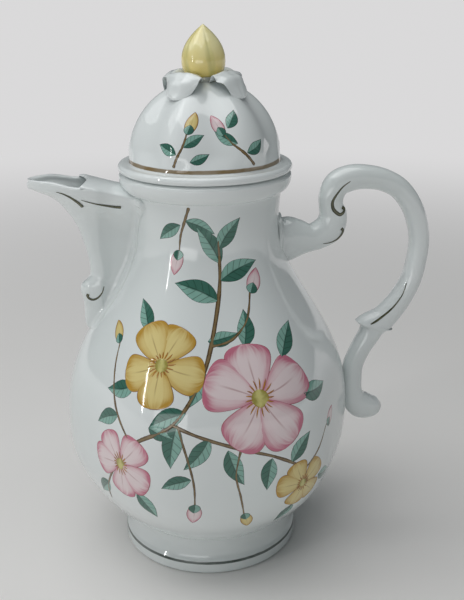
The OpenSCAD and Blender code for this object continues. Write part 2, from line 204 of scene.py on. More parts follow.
# a socket's value; each operator adds a Math node
class Amount:
    def __init__(self, finish, socket):
        self.finish, self.socket = finish, socket

    def math(self, operation, first, second=0.0):
        return self.finish.node("ShaderNodeMath", {"operation": operation}, {0: first, 1: second})

    def __add__(self, other):
        return self.math("ADD", self, other)

    def __radd__(self, other):
        return self.math("ADD", other, self)

    def __sub__(self, other):
        return self.math("SUBTRACT", self, other)

    def __rsub__(self, other):
        return self.math("SUBTRACT", other, self)

    def __mul__(self, other):
        return self.math("MULTIPLY", self, other)

    def __rmul__(self, other):
        return self.math("MULTIPLY", other, self)

    def __truediv__(self, other):
        return self.math("DIVIDE", self, other)

    def __rtruediv__(self, other):
        return self.math("DIVIDE", other, self)

    def __abs__(self):
        return self.math("ABSOLUTE", self)


# a node tree with one shader; every node comes from node()
class Finish:
    def __init__(self, name, owner=None):
        self.made = owner or bpy.data.materials.new(name)
        self.made.use_nodes = True
        self.tree = self.made.node_tree
        self.tree.nodes.clear()

    # the settings are set first, then the sockets, by place or name; the result is one output
    def node(self, kind, settings=None, inputs=None, output=0):
        made = self.tree.nodes.new(kind)
        for key, value in (settings or {}).items():
            setattr(made, key, value)
        for place, value in (inputs or {}).items():
            if isinstance(value, Amount):
                self.tree.links.new(value.socket, made.inputs[place])
            else:
                made.inputs[place].default_value = value
        return Amount(self, made.outputs[output])

    # low where the mask is 0 and high where it is 1
    def blendColour(self, mask, low, high):
        colours = [c if isinstance(c, Amount) else (*c, 1) for c in (low, high)]
        inputs = {0: mask, 6: colours[0], 7: colours[1]}
        return self.node("ShaderNodeMix", {"data_type": "RGBA"}, inputs, 2)

    # smooth mask: 0 below low, 1 above high
    def step(self, value, low, high):
        inputs = {0: value, 1: low, 2: high}
        return self.node("ShaderNodeMapRange", {"interpolation_type": "SMOOTHSTEP"}, inputs)

    # the point that is shaded, in metres on the object's own axes
    def place(self):
        return self.node("ShaderNodeTexCoord", output="Object")

    # the three numbers of a vector
    def parts(self, vector):
        split = self.node("ShaderNodeSeparateXYZ", inputs={0: vector}).socket.node
        return [Amount(self, split.outputs[k]) for k in range(3)]

    def noise(self, vector, scale, detail=2.0, stretch=None):
        if stretch:
            vector = self.node("ShaderNodeMapping", inputs={"Vector": vector, "Scale": stretch})
        inputs = {"Vector": vector, "Scale": scale, "Detail": detail}
        return self.node("ShaderNodeTexNoise", {}, inputs, "Fac")

    # one shader's socket becomes what the tree gives out
    def giveOut(self, shader, kind="ShaderNodeOutputMaterial"):
        out = self.tree.nodes.new(kind)
        self.tree.links.new(shader.socket, out.inputs["Surface"])
        return self.made


# the glaze that covers every piece
glazeLook = {
    "white": (0.785, 0.825, 0.822),   # cool white of the fired glaze
    "thick": (0.70, 0.765, 0.75),     # grey-green where the glaze lies thicker
    "roughness": 0.07, "coat": 0.35, "refraction": 1.52,
    "ripple": 0.05, "rippleHeight": 0.0004,
}


# glossy glaze: white that drifts slowly to grey-green, and a faint ripple that bends reflections
def glazeParts(finish):
    spot = finish.place()
    drift = finish.step(finish.noise(spot, 14, 3), 0.35, 0.75)
    colour = finish.blendColour(drift * 0.5, glazeLook["white"], glazeLook["thick"])
    fine = finish.noise(spot, 260, 2)
    slow = finish.noise(spot, 60, 1)
    bump = finish.node("ShaderNodeBump", {}, {
        "Strength": glazeLook["ripple"], "Distance": glazeLook["rippleHeight"], "Height": fine * 0.2 + slow})
    rough = glazeLook["roughness"] + fine * 0.03
    return spot, colour, rough, bump


# the shader that all fired pieces and paints share
def glossy(finish, colour, rough, bump):
    return finish.giveOut(finish.node("ShaderNodeBsdfPrincipled", inputs={
        "Base Color": colour, "Roughness": rough, "Normal": bump, "IOR": glazeLook["refraction"],
        "Coat Weight": glazeLook["coat"], "Coat Roughness": 0.03}))


def plainGlaze(name):
    finish = Finish(name)
    return glossy(finish, *glazeParts(finish)[1:])


# glaze with one painted line round it; its edges are soft and waver a little
def bandedGlaze(name, line):
    finish, low, high, soft = Finish(name), line["low"], line["high"], line["soft"]
    spot, colour, rough, bump = glazeParts(finish)
    z = finish.parts(spot)[2] / millimetre + (finish.noise(spot, 220, 2) - 0.5) * 0.35
    band = finish.step(z, low - soft, low + soft) * (1 - finish.step(z, high - soft, high + soft))
    depth = 0.875 + (finish.noise(spot, 90, 3) - 0.5) * 0.5
    colour = finish.blendColour(band * depth, colour, line["colour"])
    return glossy(finish, colour, rough, bump)


# painted lines: heights in millimetres and colour
footLineLook = {"low": 5.3, "high": 6.6, "soft": 0.18, "colour": (0.012, 0.030, 0.020)}
lidLineLook = {"low": 191.05, "high": 192.6, "soft": 0.18, "colour": (0.21, 0.135, 0.045)}
potGlaze = plainGlaze("potGlaze")
footGlaze = bandedGlaze("footGlaze", footLineLook)
lidGlaze = bandedGlaze("lidGlaze", lidLineLook)

# the bud's colours, how many folds it has and how far they wind from foot to top, in radians
budLook = {
    # shade is painted shade: olive darkening laid into the creases of the folds
    "pale": (0.88, 0.82, 0.45), "deep": (0.78, 0.64, 0.19), "shade": (0.42, 0.42, 0.14),
    "foot": (0.80, 0.64, 0.20), "folds": 5, "wind": 1.6}


# bud: pale yellow, deeper towards its foot, with soft olive painted shade in the folds between its petals
def budFinish():
    finish = Finish("budGlaze")
    spot, _, rough, bump = glazeParts(finish)
    x, y, z = finish.parts(spot)
    turn = finish.node("ShaderNodeMath", {"operation": "ARCTAN2"}, {0: y, 1: x})
    low, high = (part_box("finial_bud")[k].z for k in range(2))
    rise = (z - low) / (high - low)
    wave = finish.node("ShaderNodeMath", {"operation": "COSINE"}, {
        0: turn * budLook["folds"] + rise * budLook["wind"]})
    # painted shade: olive darkening along the creases of the folds, weaker towards the top
    fold = finish.step(wave + (finish.noise(spot, 160, 2) - 0.5) * 0.8, 0.35, 1.05)
    base = finish.blendColour(finish.step(rise, 0.05, 0.65), budLook["foot"], budLook["pale"])
    base = finish.blendColour(finish.step(finish.noise(spot, 90, 3), 0.35, 0.75) * 0.5, base, budLook["deep"])
    colour = finish.blendColour(fold * (1 - rise * 0.7) * 0.55, base, budLook["shade"])
    return glossy(finish, colour, rough, bump)


budGlaze = budFinish()


# the pot's sizes in millimetres; heights are over the table
pot = {
    "bellyRadius": 66.75, "bellyHeight": 68.0, "neckRadius": 33.45, "neckHeight": 162.0, "neckFlare": 1.2,
    "joinRadius": 41.4, "wall": 3.1, "lobeDepth": 1.5, "lobes": 6, "rimHeight": 8.5, "rimRadius": 39.2,
    "beadDrop": 1.9, "mouthRadius": 30.3, "lip": 0.9, "footRadius": 43.1, "waistRadius": 40.5,
    "boreRadius": 37.6, "toe": 1.6, "heel": 1.4, "bandTop": 6.6, "coveTop": 13.0, "baseHeight": 12.5,
    "floorDrop": 1.9, "pourWidth": 6.0, "pourLow": 11.0, "pourHigh": 3.0, "pourReach": (-24.0, -44.0),
    "around": 240, "outerRows": 180, "innerRows": 60, "jointBlur": 0.75,
}
rimBase = cadTop - pot["rimHeight"]
wallTop = rimBase - 0.1     # where the wall ends under the bead; spout and bridge follow it up to here
beadHeight = cadTop - pot["beadDrop"]
neckTopRadius = pot["neckRadius"] + pot["neckFlare"]


# mean radius at height z: a power curve under the belly, a stretched cosine above it and a faint flare
# at the neck
def pearRadius(z):
    below = np.clip((pot["bellyHeight"] - z) / (pot["bellyHeight"] - footTop), 0, None)
    bowl = mix(pot["bellyRadius"], pot["joinRadius"], below ** 2.5)
    up = np.clip((z - pot["bellyHeight"]) / (pot["neckHeight"] - pot["bellyHeight"]), 0, 1)
    shoulder = mix(pot["neckRadius"], pot["bellyRadius"], (1 + np.cos(np.pi * up ** 1.2)) / 2)
    flare = np.clip((z - pot["neckHeight"]) / (rimBase - pot["neckHeight"]), 0, 1)
    return np.where(z < pot["bellyHeight"], bowl, shoulder + pot["neckFlare"] * flare ** 2)


# depth of the lobes at height z: none at the foot and the rim, less on the neck than on the belly
def lobeDepth(z):
    fade = ramp(z, footTop, footTop + 36) * ramp(rimBase - z, 0, 30)
    slim = (pearRadius(z) - pot["neckRadius"]) / (pot["bellyRadius"] - pot["neckRadius"])
    return pot["lobeDepth"] * fade * mix(0.45, 1, slim)


# the outside from foot to rim as one (radius, height) line, with its creases softened as glaze fills them
def outsideLine():
    foot, waist, join = pot["footRadius"], pot["waistRadius"], pot["joinRadius"] - 0.2
    t = np.linspace(0, 1, 9)
    band = np.array([[foot, pot["toe"]], [foot, pot["bandTop"]]])
    cove = np.stack([mix(foot, waist, np.sqrt(t)), mix(pot["bandTop"], pot["coveTop"], t)], axis=-1)
    neck = np.stack([mix(waist, join, t ** 2), mix(pot["coveTop"] + 0.6, footTop, t)], axis=-1)
    z = np.linspace(footTop + 0.3, wallTop, 500)
    pear = np.stack([pearRadius(z), z], axis=-1)
    rise = np.linspace(0, 1, 30)
    beadZ = mix(rimBase, beadHeight, 1 - np.cos(np.pi / 2 * rise))
    beadR = neckTopRadius + (pot["rimRadius"] - neckTopRadius) * np.sqrt(
        1 - ((beadHeight - beadZ) / (beadHeight - rimBase)) ** 2)
    bead = np.stack([beadR, beadZ], axis=-1)
    return soften(np.concatenate([band, cove, neck, pear, bead]), pot["jointBlur"], 0.25)


outside = outsideLine()


# the stretch of the outside between two heights
def outsideBetween(low, high):
    ends = np.array([[np.interp(z, outside[:, 1], outside[:, 0]), z] for z in (low, high)])
    inner = outside[(outside[:, 1] > low + 0.05) & (outside[:, 1] < high - 0.05)]
    return np.concatenate([ends[:1], inner, ends[1:]])


# radius of the pot's outside in the direction a at height z
def wallRadius(a, z):
    return np.interp(z, outside[:, 1], outside[:, 0]) + lobeDepth(z) * np.cos(pot["lobes"] * a)


# turns a (radius, height) line about the pot's axis: radius + lobe * cos(lobes * angle)
def turned(line, lobe, around):
    a = fullTurn(around)
    return polar(line[:, :1] + np.reshape(lobe, (-1, 1)) * np.cos(pot["lobes"] * a), a, line[:, 1:2])


# a turned line as the new skin of one node; it closes in poles at two heights, or else on itself
def turnedPiece(name, line, finish, body, node, lobe=0.0, poles=(), around=pot["around"]):
    ends = [[0, 0, z] for z in poles]
    points, faceSets = ringSkin(turned(line, lobe, around), *ends, joinRows=not ends)
    return makePiece(name, points, faceSets, finish, body, [node])


# a slot's outline with round ends, drawn out along X, which opens the wall behind the spout
def pourCutter():
    low, high, half = pot["neckHeight"] - pot["pourLow"], rimBase - pot["pourHigh"], pot["pourWidth"] / 2
    outline = np.concatenate([arc(0, high - half, half, 0, 180, 25), arc(0, low + half, half, 180, 360, 25)])
    near, far = pot["pourReach"]
    rings = np.stack([np.column_stack([np.full(len(outline), x), outline]) for x in (near, far)])
    middle = [0, (low + high) / 2]
    points, faceSets = ringSkin(rings, [near, *middle], [far, *middle])
    return makePiece("pourCutter", points, faceSets, potGlaze, "pot")


# closed wall: the base's underside, the lobed outside, the inside a wall's thickness in, and the floor
def buildBody():
    outer = easedPoints(outsideBetween(footTop, rimBase), pot["outerRows"])
    z = np.linspace(rimBase, footTop + 6, pot["innerRows"])
    inner = np.stack([pearRadius(z) - pot["wall"], z], axis=-1)
    floorZ, baseZ = footTop - pot["floorDrop"], pot["baseHeight"]
    floorStations = [inner[-1], [36.5, floorZ + 3.2], [18.5, floorZ + 0.8], [5, floorZ]]
    floor = smoothCurve(floorStations, np.linspace(0, 3, 16)[1:])
    baseStations = [[3, baseZ], [20, baseZ + 0.9], [32.5, baseZ + 2.6], [37, baseZ + 5.5]]
    base = smoothCurve(baseStations, np.linspace(0, 3, 14))
    line = np.concatenate([base, outer, inner, floor])
    lobe = np.concatenate([np.zeros(len(base)), lobeDepth(outer[:, 1]), lobeDepth(z), np.zeros(len(floor))])
    poles = baseZ, floorZ
    body = turnedPiece("bodySurface", line, potGlaze, "pot", "body_shell", lobe, poles)
    cutter = pourCutter()
    cut = body.modifiers.new("pourOpening", "BOOLEAN")
    cut.operation, cut.solver, cut.object = "DIFFERENCE", "EXACT", cutter
    shown = body.evaluated_get(bpy.context.evaluated_depsgraph_get())
    body.data = bpy.data.meshes.new_from_object(shown)
    body.modifiers.clear()
    bpy.data.objects.remove(cutter)
    print("body:", len(body.data.polygons), "faces")


# foot ring: the outside's band and cove, a straight bore, and round corners where it stands
def buildFoot():
    toe, heel, bore = pot["toe"], pot["heel"], pot["boreRadius"]
    line = np.concatenate([
        arc(pot["footRadius"] - toe, toe, toe, -90, 0, 9)[:-1],
        easedPoints(outsideBetween(toe, footTop), 60, 0.3),
        [[bore, footTop - 0.5], [bore, 10], [bore, 4]],
        arc(bore + heel, heel, heel, 180, 270, 9)])
    turnedPiece("footSurface", line, footGlaze, "pot", "foot_ring")


# rim: the outside's bead, rolled over the top as 1.2 * t^2, and a rounded lip round the mouth
def buildRim():
    outer = easedPoints(outsideBetween(rimBase, beadHeight), 40, 0.4)
    t = np.linspace(0, 1, 10)[1:]
    over = np.stack([pot["rimRadius"] - 1.2 * t ** 2, mix(beadHeight, cadTop - 0.25, t)], axis=-1)
    edge = np.array([[pot["rimRadius"] - 2.2, cadTop]])
    lip = arc(pot["mouthRadius"] + pot["lip"], cadTop - pot["lip"], pot["lip"], 90, 180, 9)
    inside = np.array([[pot["mouthRadius"], cadTop - 4], [pot["mouthRadius"] + 0.5, rimBase + 1.5],
                       [neckTopRadius - pot["wall"], rimBase]])
    line = np.concatenate([outer, over, edge, lip, inside])
    turnedPiece("rimSurface", line, potGlaze, "pot", "rim_ring")


buildBody()
buildFoot()
buildRim()
print("pot made")


# the spout's sizes in millimetres; front, cheek and the lip's places are distances from the axis
spout = {
    "beak": 13.85, "web": 5.0, "wall": 2.1, "ledge": cadTop - 5.5, "front": 53.4, "rake": 3.2, "cheek": 49.5,
    "floor": pot["neckHeight"] - 14, "rise": 3.2, "thick": 2.0, "frontRound": 1.6, "rows": 170,
    "webSteps": 26, "noseSteps": 34, "sunk": 0.8, "fillet": 2.6, "lipRound": 1.1, "endRound": 2.6,
    "hollow": 0.2, "brimDrop": (8.2, 3.35), "lipRise": 2.35, "lipPlace": 71.5, "blunt": 1.6,
    "bluntPlace": 76.9, "inWall": 3.2}
spout["low"] = spout["ledge"] - 68
spout["end"] = spout["front"] + spout["rake"] + 0.2
# keel: height above the pendant's tip, distance out from the wall, half width
keelStations = np.array([
    [0, 0.7, 2.1], [1.8, 2.5, 3.1], [4.7, 4.8, 3.8], [8.6, 7.1, 4.3], [12.5, 9.5, 4.7], [16, 12.1, 5.5],
    [19.4, 14.8, 6.1], [22.4, 15.9, 6.3], [24.4, 14.7, 6.1], [26.8, 14.2, 5.9], [30.3, 15.7, 5.9],
    [35.1, 18, 5.9], [39.9, 20.5, 5.9], [44.7, 22.8, 6], [49.5, 24.7, 6.5], [54.3, 27.1, 7.6],
    [57.4, 29.5, 8.9], [60.1, 32.2, 10.4], [61.4, 34.5, 11.4], [62.6, 37.2, 12.3], [63.5, 40.1, 12.9],
    [64.2, 42.3, 13.2], [65.3, 43.9, 13.6], [68, 44.55, 13.85], [72, 44.55, 13.85]])


# distance from the axis and half width of the keel at each height
def keelAt(z):
    count = len(keelStations)
    place = np.interp(z - spout["low"], keelStations[:, 0], np.arange(count))
    found = smoothCurve(keelStations, np.clip(place, 0, count - 1.001))
    return wallRadius(np.pi, np.minimum(z, wallTop)) + found[..., 1], found[..., 2]


# half width at the wall: a narrow web low down that spreads under the beak
def rootAt(z):
    h = z - spout["low"]
    return mix(spout["web"] * mix(0.7, 1, ramp(h, 2, 20)), spout["beak"] - 0.5, ramp(h, 46, 66))


# half width of a level slice at distance u: hollowed cheeks, then a round end at the keel, which is more
# pointed at the lip
def cheekWidth(u, z, tip, half, root, edge):
    start = np.minimum(spout["cheek"], tip - half)
    along = np.clip((u - edge) / (start - edge), 0, 1)
    hollow = mix(spout["hollow"], 0.09, ramp(z, 160, 176))
    cheeks = mix(root, half, ramp(u, edge, start)) * (1 - hollow * np.sin(np.pi * along ** 1.5))
    power = mix(0.5, 0.62, ramp(z, spout["ledge"] - 22, spout["ledge"]))
    nose = half * np.clip(1 - ((u - start) / (tip - start)) ** 2, 0, None) ** power
    return np.where(u < start, cheeks, nose)


# height of the spout's top edge at a distance u: it climbs from the rim under the bridge, rises to the lip
# and rounds off over the blunt tip
def brim(u):
    climb = np.minimum(1, (u - pot["rimRadius"]) / (spout["end"] - pot["rimRadius"]))
    blunt = spout["blunt"] * np.clip((u - spout["bluntPlace"]) / 2.5, 0, 1) ** 2
    rise = spout["lipRise"] * ramp(u, spout["end"], spout["lipPlace"])
    return cadTop - mix(*spout["brimDrop"], climb) + rise - blunt


# keeps points from going deeper into the pot's wall than sunk
def seated(points, sunk):
    x, y, z = np.moveaxis(points, -1, 0)
    a = np.arctan2(y, x)
    return polar(np.maximum(np.hypot(x, y), wallRadius(a, z) - sunk), a, z)


# extra width that rounds a join into the wall: a quarter circle, size - sqrt(size^2 - (size - distance)^2),
# that runs on under the wall, 2.5 wider for each millimetre down
def joinFillet(distance, size):
    short = 1 - np.clip(distance / size, 0, 1)
    return size * (1 - np.sqrt(1 - short ** 2)) + 2.5 * np.clip(-distance, 0, 0.8)


# distances from the wall to the keel: closer at both ends, with one point kept at the bridge's front
def alongSide(z, tip, edge):
    split = mix(mix(edge, tip, 0.36), spout["end"], ramp(z, spout["ledge"] - 14, spout["ledge"] - 2))
    web = mix(edge, split, np.linspace(0, 1, spout["webSteps"]) ** 1.5)
    nose = mix(split, tip, np.sin(np.pi / 2 * np.linspace(0, 1, spout["noseSteps"])))
    return np.concatenate([web, nose[:, 1:]], axis=1)


# distance along -X at which spout and bridge start, inside the wall: a chord under the fillet's width
def seatDistance(wall, root):
    return np.sqrt(wall ** 2 - (root + spout["fillet"] + 2) ** 2) - 1


# spout: level slices, closed at the foot; over the floor they open into an outer and an inner face, and
# the slices above low stretch up to the brim, where the two faces meet in a round lip
def buildSpout():
    rise = np.linspace(0, 1, spout["rows"])
    z = mix(spout["ledge"], spout["low"], (1 - rise) ** 1.25)[:, None]
    wall = wallRadius(np.pi, np.minimum(z, wallTop))
    tip, half = keelAt(z)
    root = rootAt(z)
    tuck = np.sqrt(np.clip(1 - (1 - np.clip((z - spout["low"]) / spout["endRound"], 0, 1)) ** 2, 0.003, 1))
    tip, half, root = mix(wall + 0.3, np.maximum(tip, wall + 0.8), tuck), half * tuck, root * tuck
    edge = seatDistance(wall, root)
    outU = alongSide(z, tip, edge)
    outW = cheekWidth(outU, z, tip, half, root, wall - spout["inWall"])
    near = wallRadius(np.arctan2(outW, -outU), np.minimum(z, wallTop) + 0 * outU)
    outW += tuck * joinFillet(np.hypot(outU, outW) - near, spout["fillet"])
    opened = ramp(z, spout["floor"], spout["floor"] + 10)
    hollowTip = np.maximum(edge + 0.5, np.minimum(tip - spout["wall"] - 0.6, keelAt(z - 2.2)[0]))
    inU = alongSide(z, hollowTip, edge)
    innerHalf, innerRoot = np.minimum(half, root) - spout["wall"], root - spout["wall"]
    inW = cheekWidth(inU, z, hollowTip, innerHalf, innerRoot, wall - spout["inWall"])
    closedW = np.maximum(root - spout["wall"] / 2, 0.1 * tuck) * np.linspace(1, 0, inU.shape[1])
    inU, inW = mix(edge + 0 * inU, inU, opened), mix(closedW, inW, opened)
    low = spout["ledge"] - 12
    share = np.clip((z - low) / (spout["ledge"] - low), 0, 1)

    def lifted(u):
        return np.where(z < low, z, mix(low, brim(u), share)) + 0 * u

    outZ, inZ = lifted(outU), lifted(inU)
    # the lip: over its last stretch both faces close in half a circle on a line between them, which lies
    # nearer the outer face at the tip
    fall = np.clip((brim(outU) - outZ) / spout["lipRound"], 0, 1)
    quarter = np.sqrt(np.clip(1 - (1 - fall) ** 2, 0.0004, 1))
    close = mix(1, quarter, ramp(outU, spout["end"] - 2, spout["end"]))
    share = mix(0.5, 0.22, ramp(outU, 68, 78))
    midU, midW = mix(outU, inU, share), mix(outW, inW, share)
    outU, inU = mix(midU, outU, close), mix(midU, inU, close)
    outW, inW = mix(midW, outW, close), mix(midW, inW, close)
    outer = np.stack([-outU, outW, outZ], axis=-1)
    inner = np.stack([-inU, inW, inZ], axis=-1)
    other = np.array([1, -1, 1])
    rings = np.concatenate([outer, (outer * other)[:, -2::-1], inner * other, inner[:, -2::-1]], axis=1)
    rings = seated(rings, spout["sunk"])
    points, faceSets = ringSkin(rings, rings[0].mean(axis=0))
    half = rings.shape[1] // 2
    last = np.arange((len(rings) - 1) * rings.shape[1], len(rings) * rings.shape[1])
    facing = np.concatenate([last[half:], last[half:half + 1]])[::-1]
    near = np.concatenate([last[:half], last[half:half + 1]])
    faceSets.append(np.stack([near[:-1], near[1:], facing[1:], facing[:-1]], axis=-1))
    piece = makePiece("spoutSurface", points, faceSets, potGlaze, "pot", ["spout"])
    piece.data.set_sharp_from_angle(angle=np.radians(38))
    return rings


# bridge: half an ellipse, b * sin(a) across and height * cos(a) up, carried out along the sloping ledge;
# its front edge is round and leans back towards the crown
def buildBridge():
    z = spout["ledge"]
    wall = wallRadius(np.pi, wallTop)
    (tip, half), root = keelAt(np.array(z)), rootAt(z)
    edge = seatDistance(wall, root)
    front, size = spout["front"], spout["frontRound"]
    level, curved = np.linspace(0, 1, 40)[:-1], np.sin(np.linspace(0, np.pi / 2, 12))
    u = np.concatenate([mix(edge, front - size, level), front - size + size * curved])[:, None]
    lip = np.sqrt(np.clip(1 - (np.clip(u - front + size, 0, None) / size) ** 2, 0, 1))
    top = spout["rise"] * mix(0.66, 1, lip)
    under = np.maximum(0.4, top - spout["thick"] * mix(0.35, 1, lip))

    def arch(a, height, inset):
        v = u + spout["rake"] * np.sin(a) ** 2 * (u - edge) / (front - edge)
        b = cheekWidth(v, z, tip, half, root, wall - spout["inWall"])
        near = wallRadius(np.arctan2(b, -v), wallTop + 0 * v)
        b = b + joinFillet(np.hypot(v, b) - near, spout["fillet"]) * (inset == 0) - inset
        return np.stack([-v, b * np.sin(a), brim(v) + height * np.cos(a)], axis=-1)

    a = np.linspace(-np.pi / 2, np.pi / 2, 37)
    rings = np.concatenate([arch(a, top, 0), arch(a[::-1], under, spout["wall"])], axis=1)
    rings = seated(rings, spout["sunk"])
    index = np.arange(rings.shape[0] * rings.shape[1]).reshape(rings.shape[:2])
    faceSets = [quadsBetween(index)]
    half = rings.shape[1] // 2
    for row, turn in ((index[0], 1), (index[-1], -1)):
        near, far = row[:half], row[half:][::-1]
        faceSets.append(np.stack([near[:-1], near[1:], far[1:], far[:-1]], axis=-1)[:, ::turn])
    points = rings.reshape(-1, 3)
    piece = makePiece("bridgeSurface", points, faceSets, potGlaze, "pot", ["spout_bridge"])
    piece.data.set_sharp_from_angle(angle=np.radians(40))


spoutRings = buildSpout()
buildBridge()
print("spout made")


# the handle's sizes in millimetres; drawn holds the bow and the half sizes that the stations are written for
handle = {
    "bowOut": 68.0, "halfDepth": 5.5, "halfWidth": 5.8, "drawn": (68.0, 5.5, 5.8), "seatLow": 72.0,
    "seatHigh": 152.0, "rowsPerStation": 10, "sides": 56, "sunk": 0.8, "squareness": 2.3, "fillet": 2.0,
    "filletStations": 4, "collar": 22, "collarWay": (-0.276, -0.961)}
# stations: out from the seat line, height as a share of the span, half depth, half width
gripStations = np.array([
    [-3, 0.994, 10.5, 7.7], [0.4, 0.994, 10.5, 7.7], [4.6, 1, 10.4, 7.3], [9, 1, 8.8, 6.5],
    [14, 0.998, 6.7, 5.9], [18, 1.008, 6.6, 5.7], [24.9, 1.05, 7.2, 5.7], [29.1, 1.12, 6.7, 5.5],
    [30.3, 1.188, 5.8, 5.3], [32.3, 1.25, 5.9, 5.5], [37, 1.313, 6.1, 5.7], [43.6, 1.344, 6.1, 5.7],
    [50.8, 1.35, 5.7, 5.7], [59.7, 1.327, 5.3, 5.6], [66.5, 1.262, 5.1, 5.5], [69.4, 1.137, 5, 5.4],
    [67.7, 0.975, 4.8, 5.4], [62.2, 0.825, 4.8, 5.4], [55.3, 0.69, 4.9, 5.5], [45.6, 0.562, 5.4, 5.6],
    [36, 0.466, 6.1, 5.7], [32.2, 0.437, 7.1, 5.7], [28.8, 0.416, 9.7, 5.9], [27.1, 0.391, 6.3, 5.3],
    [23.8, 0.345, 5.3, 5.3], [18.8, 0.283, 4.9, 5.3], [14.2, 0.218, 4.8, 5.2], [10.1, 0.15, 4.9, 5.2],
    [6.9, 0.063, 4.9, 5.3], [4.5, -0.019, 5.1, 5.4], [3.9, -0.081, 6.3, 5.5], [5.9, -0.125, 6.9, 5.7],
    [9.9, -0.139, 6, 5.7], [13.8, -0.14, 4.3, 4.5], [16, -0.139, 1.5, 1.9]])


# path in the (x, z) plane with half depth and half width, from the upper seat to the lower curl
def gripPath():
    low, high = (wallRadius(0.0, handle[k]) for k in ("seatLow", "seatHigh"))
    out, share, deep, wide = gripStations.T
    bow, depth, width = (handle[k] / d for k, d in zip(("bowOut", "halfDepth", "halfWidth"), handle["drawn"]))
    height = mix(handle["seatLow"], handle["seatHigh"], share)
    return np.stack([mix(low, high, share) + out * bow, height, deep * depth, wide * width], axis=-1)


# a rounded square section, cos and sin to the power 2 / squareness, carried along the path: its depth lies
# in the path's plane and its width across it
def buildHandle():
    stations = gripPath()
    last = len(stations) - 1
    t = np.linspace(0, last, handle["rowsPerStation"] * last + 1)
    row = smoothCurve(stations, t)
    ahead, behind = (smoothCurve(stations, np.clip(t + d, 0, last)) for d in (0.05, -0.05))
    a, power = fullTurn(handle["sides"]), 2 / handle["squareness"]
    c, s = (np.sign(f(a)) * np.abs(f(a)) ** power for f in (np.cos, np.sin))
    # at the end of the bow the section turns almost level, as a collar
    share = np.exp(-((t - handle["collar"]) / 0.9) ** 2)[:, None]
    way = unit(mix(unit(ahead[:, :2] - behind[:, :2]), np.array(handle["collarWay"]), share))
    x, z, deep, wide = (row[:, k:k + 1] for k in range(4))
    out = np.hypot(x, wide * s) - wallRadius(np.arctan2(wide * s, x), z)
    spread = joinFillet(np.maximum(out, -0.3), handle["fillet"]) * (t[:, None] < handle["filletStations"])
    n = (deep + spread) * c
    rings = np.stack([x + n * way[:, 1:], (wide + spread) * s, z - n * way[:, :1]], axis=-1)
    rings = seated(rings, handle["sunk"])
    points, faceSets = ringSkin(rings, rings[0].mean(axis=0), rings[-1].mean(axis=0))
    makePiece("handleSurface", points, faceSets, potGlaze, "pot", ["handle"])
    return rings


handleRings = buildHandle()
print("handle made")


# the lid's sizes in millimetres
lid = {
    "domeRadius": 33.1, "domeHeight": 35.85, "flare": 1.25, "flat": 6.0, "wall": 2.8, "lobeDepth": 1.7,
    "foot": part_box("lid_dome")[0].z / millimetre, "flangeRadius": 39.45, "seat": cadTop + 0.3, "rows": 90,
    "tenonDepth": 8.0, "tenonRadius": 29.3, "roll": 1.8}


# height of the dome over its foot at radius r: an ellipse
def domeHeight(r, height, size):
    return height * np.sqrt(np.clip(1 - (r / size) ** 2, 0, None))


# the ellipse from foot to top, flared outwards over its lowest 9 mm as flare * (1 - h / 9)^2
def domeLine(height, size, count):
    a = np.linspace(0, np.pi / 2, count)
    r = np.maximum(size * np.cos(a), 0.02)
    h = domeHeight(r, height, size)
    return np.stack([r + lid["flare"] * np.clip(1 - h / 9, 0, None) ** 2, lid["foot"] + h], axis=-1)


# depth of the lid's lobes: none at its foot and near its top
def lidLobe(line):
    return lid["lobeDepth"] * ramp(line[:, 1] - lid["foot"], 0, 8) * ramp(line[:, 0], lid["flat"], 18)


# the lid's outside: the dome with a flat top for the finial
def lidOutside():
    line = domeLine(lid["domeHeight"], lid["domeRadius"], 240)
    top = lid["foot"] + domeHeight(lid["flat"], lid["domeHeight"], lid["domeRadius"])
    line[:, 1] = np.minimum(line[:, 1], top)
    return line


domeOutside = lidOutside()


# dome: the outside, and the same line a wall's thickness smaller inside it
def buildDome():
    outer = easedPoints(domeOutside, lid["rows"], 0.3)[:-1]
    inner = domeLine(lid["domeHeight"] - lid["wall"] - 0.4, lid["domeRadius"] - lid["wall"], 50)[::-1][1:]
    line = np.concatenate([inner, outer])
    poles = inner[0, 1], outer[-1, 1]
    turnedPiece("lidSurface", line, lidGlaze, "lid", "lid_dome", lidLobe(line), poles)


# flange: a round roll on a flat seat, with the tenon under it and a small shelf up to the dome
def buildFlange():
    seat, foot, roll = lid["seat"], lid["foot"], lid["roll"]
    tenon, inside = lid["tenonRadius"], lid["tenonRadius"] - lid["wall"]
    low, join = seat - lid["tenonDepth"], lid["domeRadius"] + lid["flare"]
    line = np.concatenate([
        [[inside, low + 1], [inside + 1, low], [tenon - 1, low], [tenon, low + 1], [tenon, seat - 0.6],
         [tenon + 0.6, seat], [lid["flangeRadius"] - 2.2, seat]],
        arc(lid["flangeRadius"] - roll, seat + roll + 0.05, roll, -80, 90, 18),
        [[join + 1.5, foot - 0.28], [join + 0.5, foot - 0.1], [join - 0.2, foot + 0.35]],
        [[join - 2.6, foot], [inside + 1.6, seat + 1.6], [inside, seat]]])
    turnedPiece("lidFlangeSurface", line, lidGlaze, "lid", "lid_flange")


buildDome()
buildFlange()
print("lid made")


# the sizes of the bud, its seat and its leaves in millimetres
finial = {
    "calyxHeight": 1.8, "calyxRadius": 5.4, "budSeat": 6.0, "budRadius": 9.7, "swell": 6.5,
    "foldDepth": 0.22, "leafReach": 21.0, "leafThick": 0.75, "budRows": 70, "leafRows": 60,
    "leafSides": 40}
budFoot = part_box("finial_bud")[0].z / millimetre
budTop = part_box("finial_bud")[1].z / millimetre


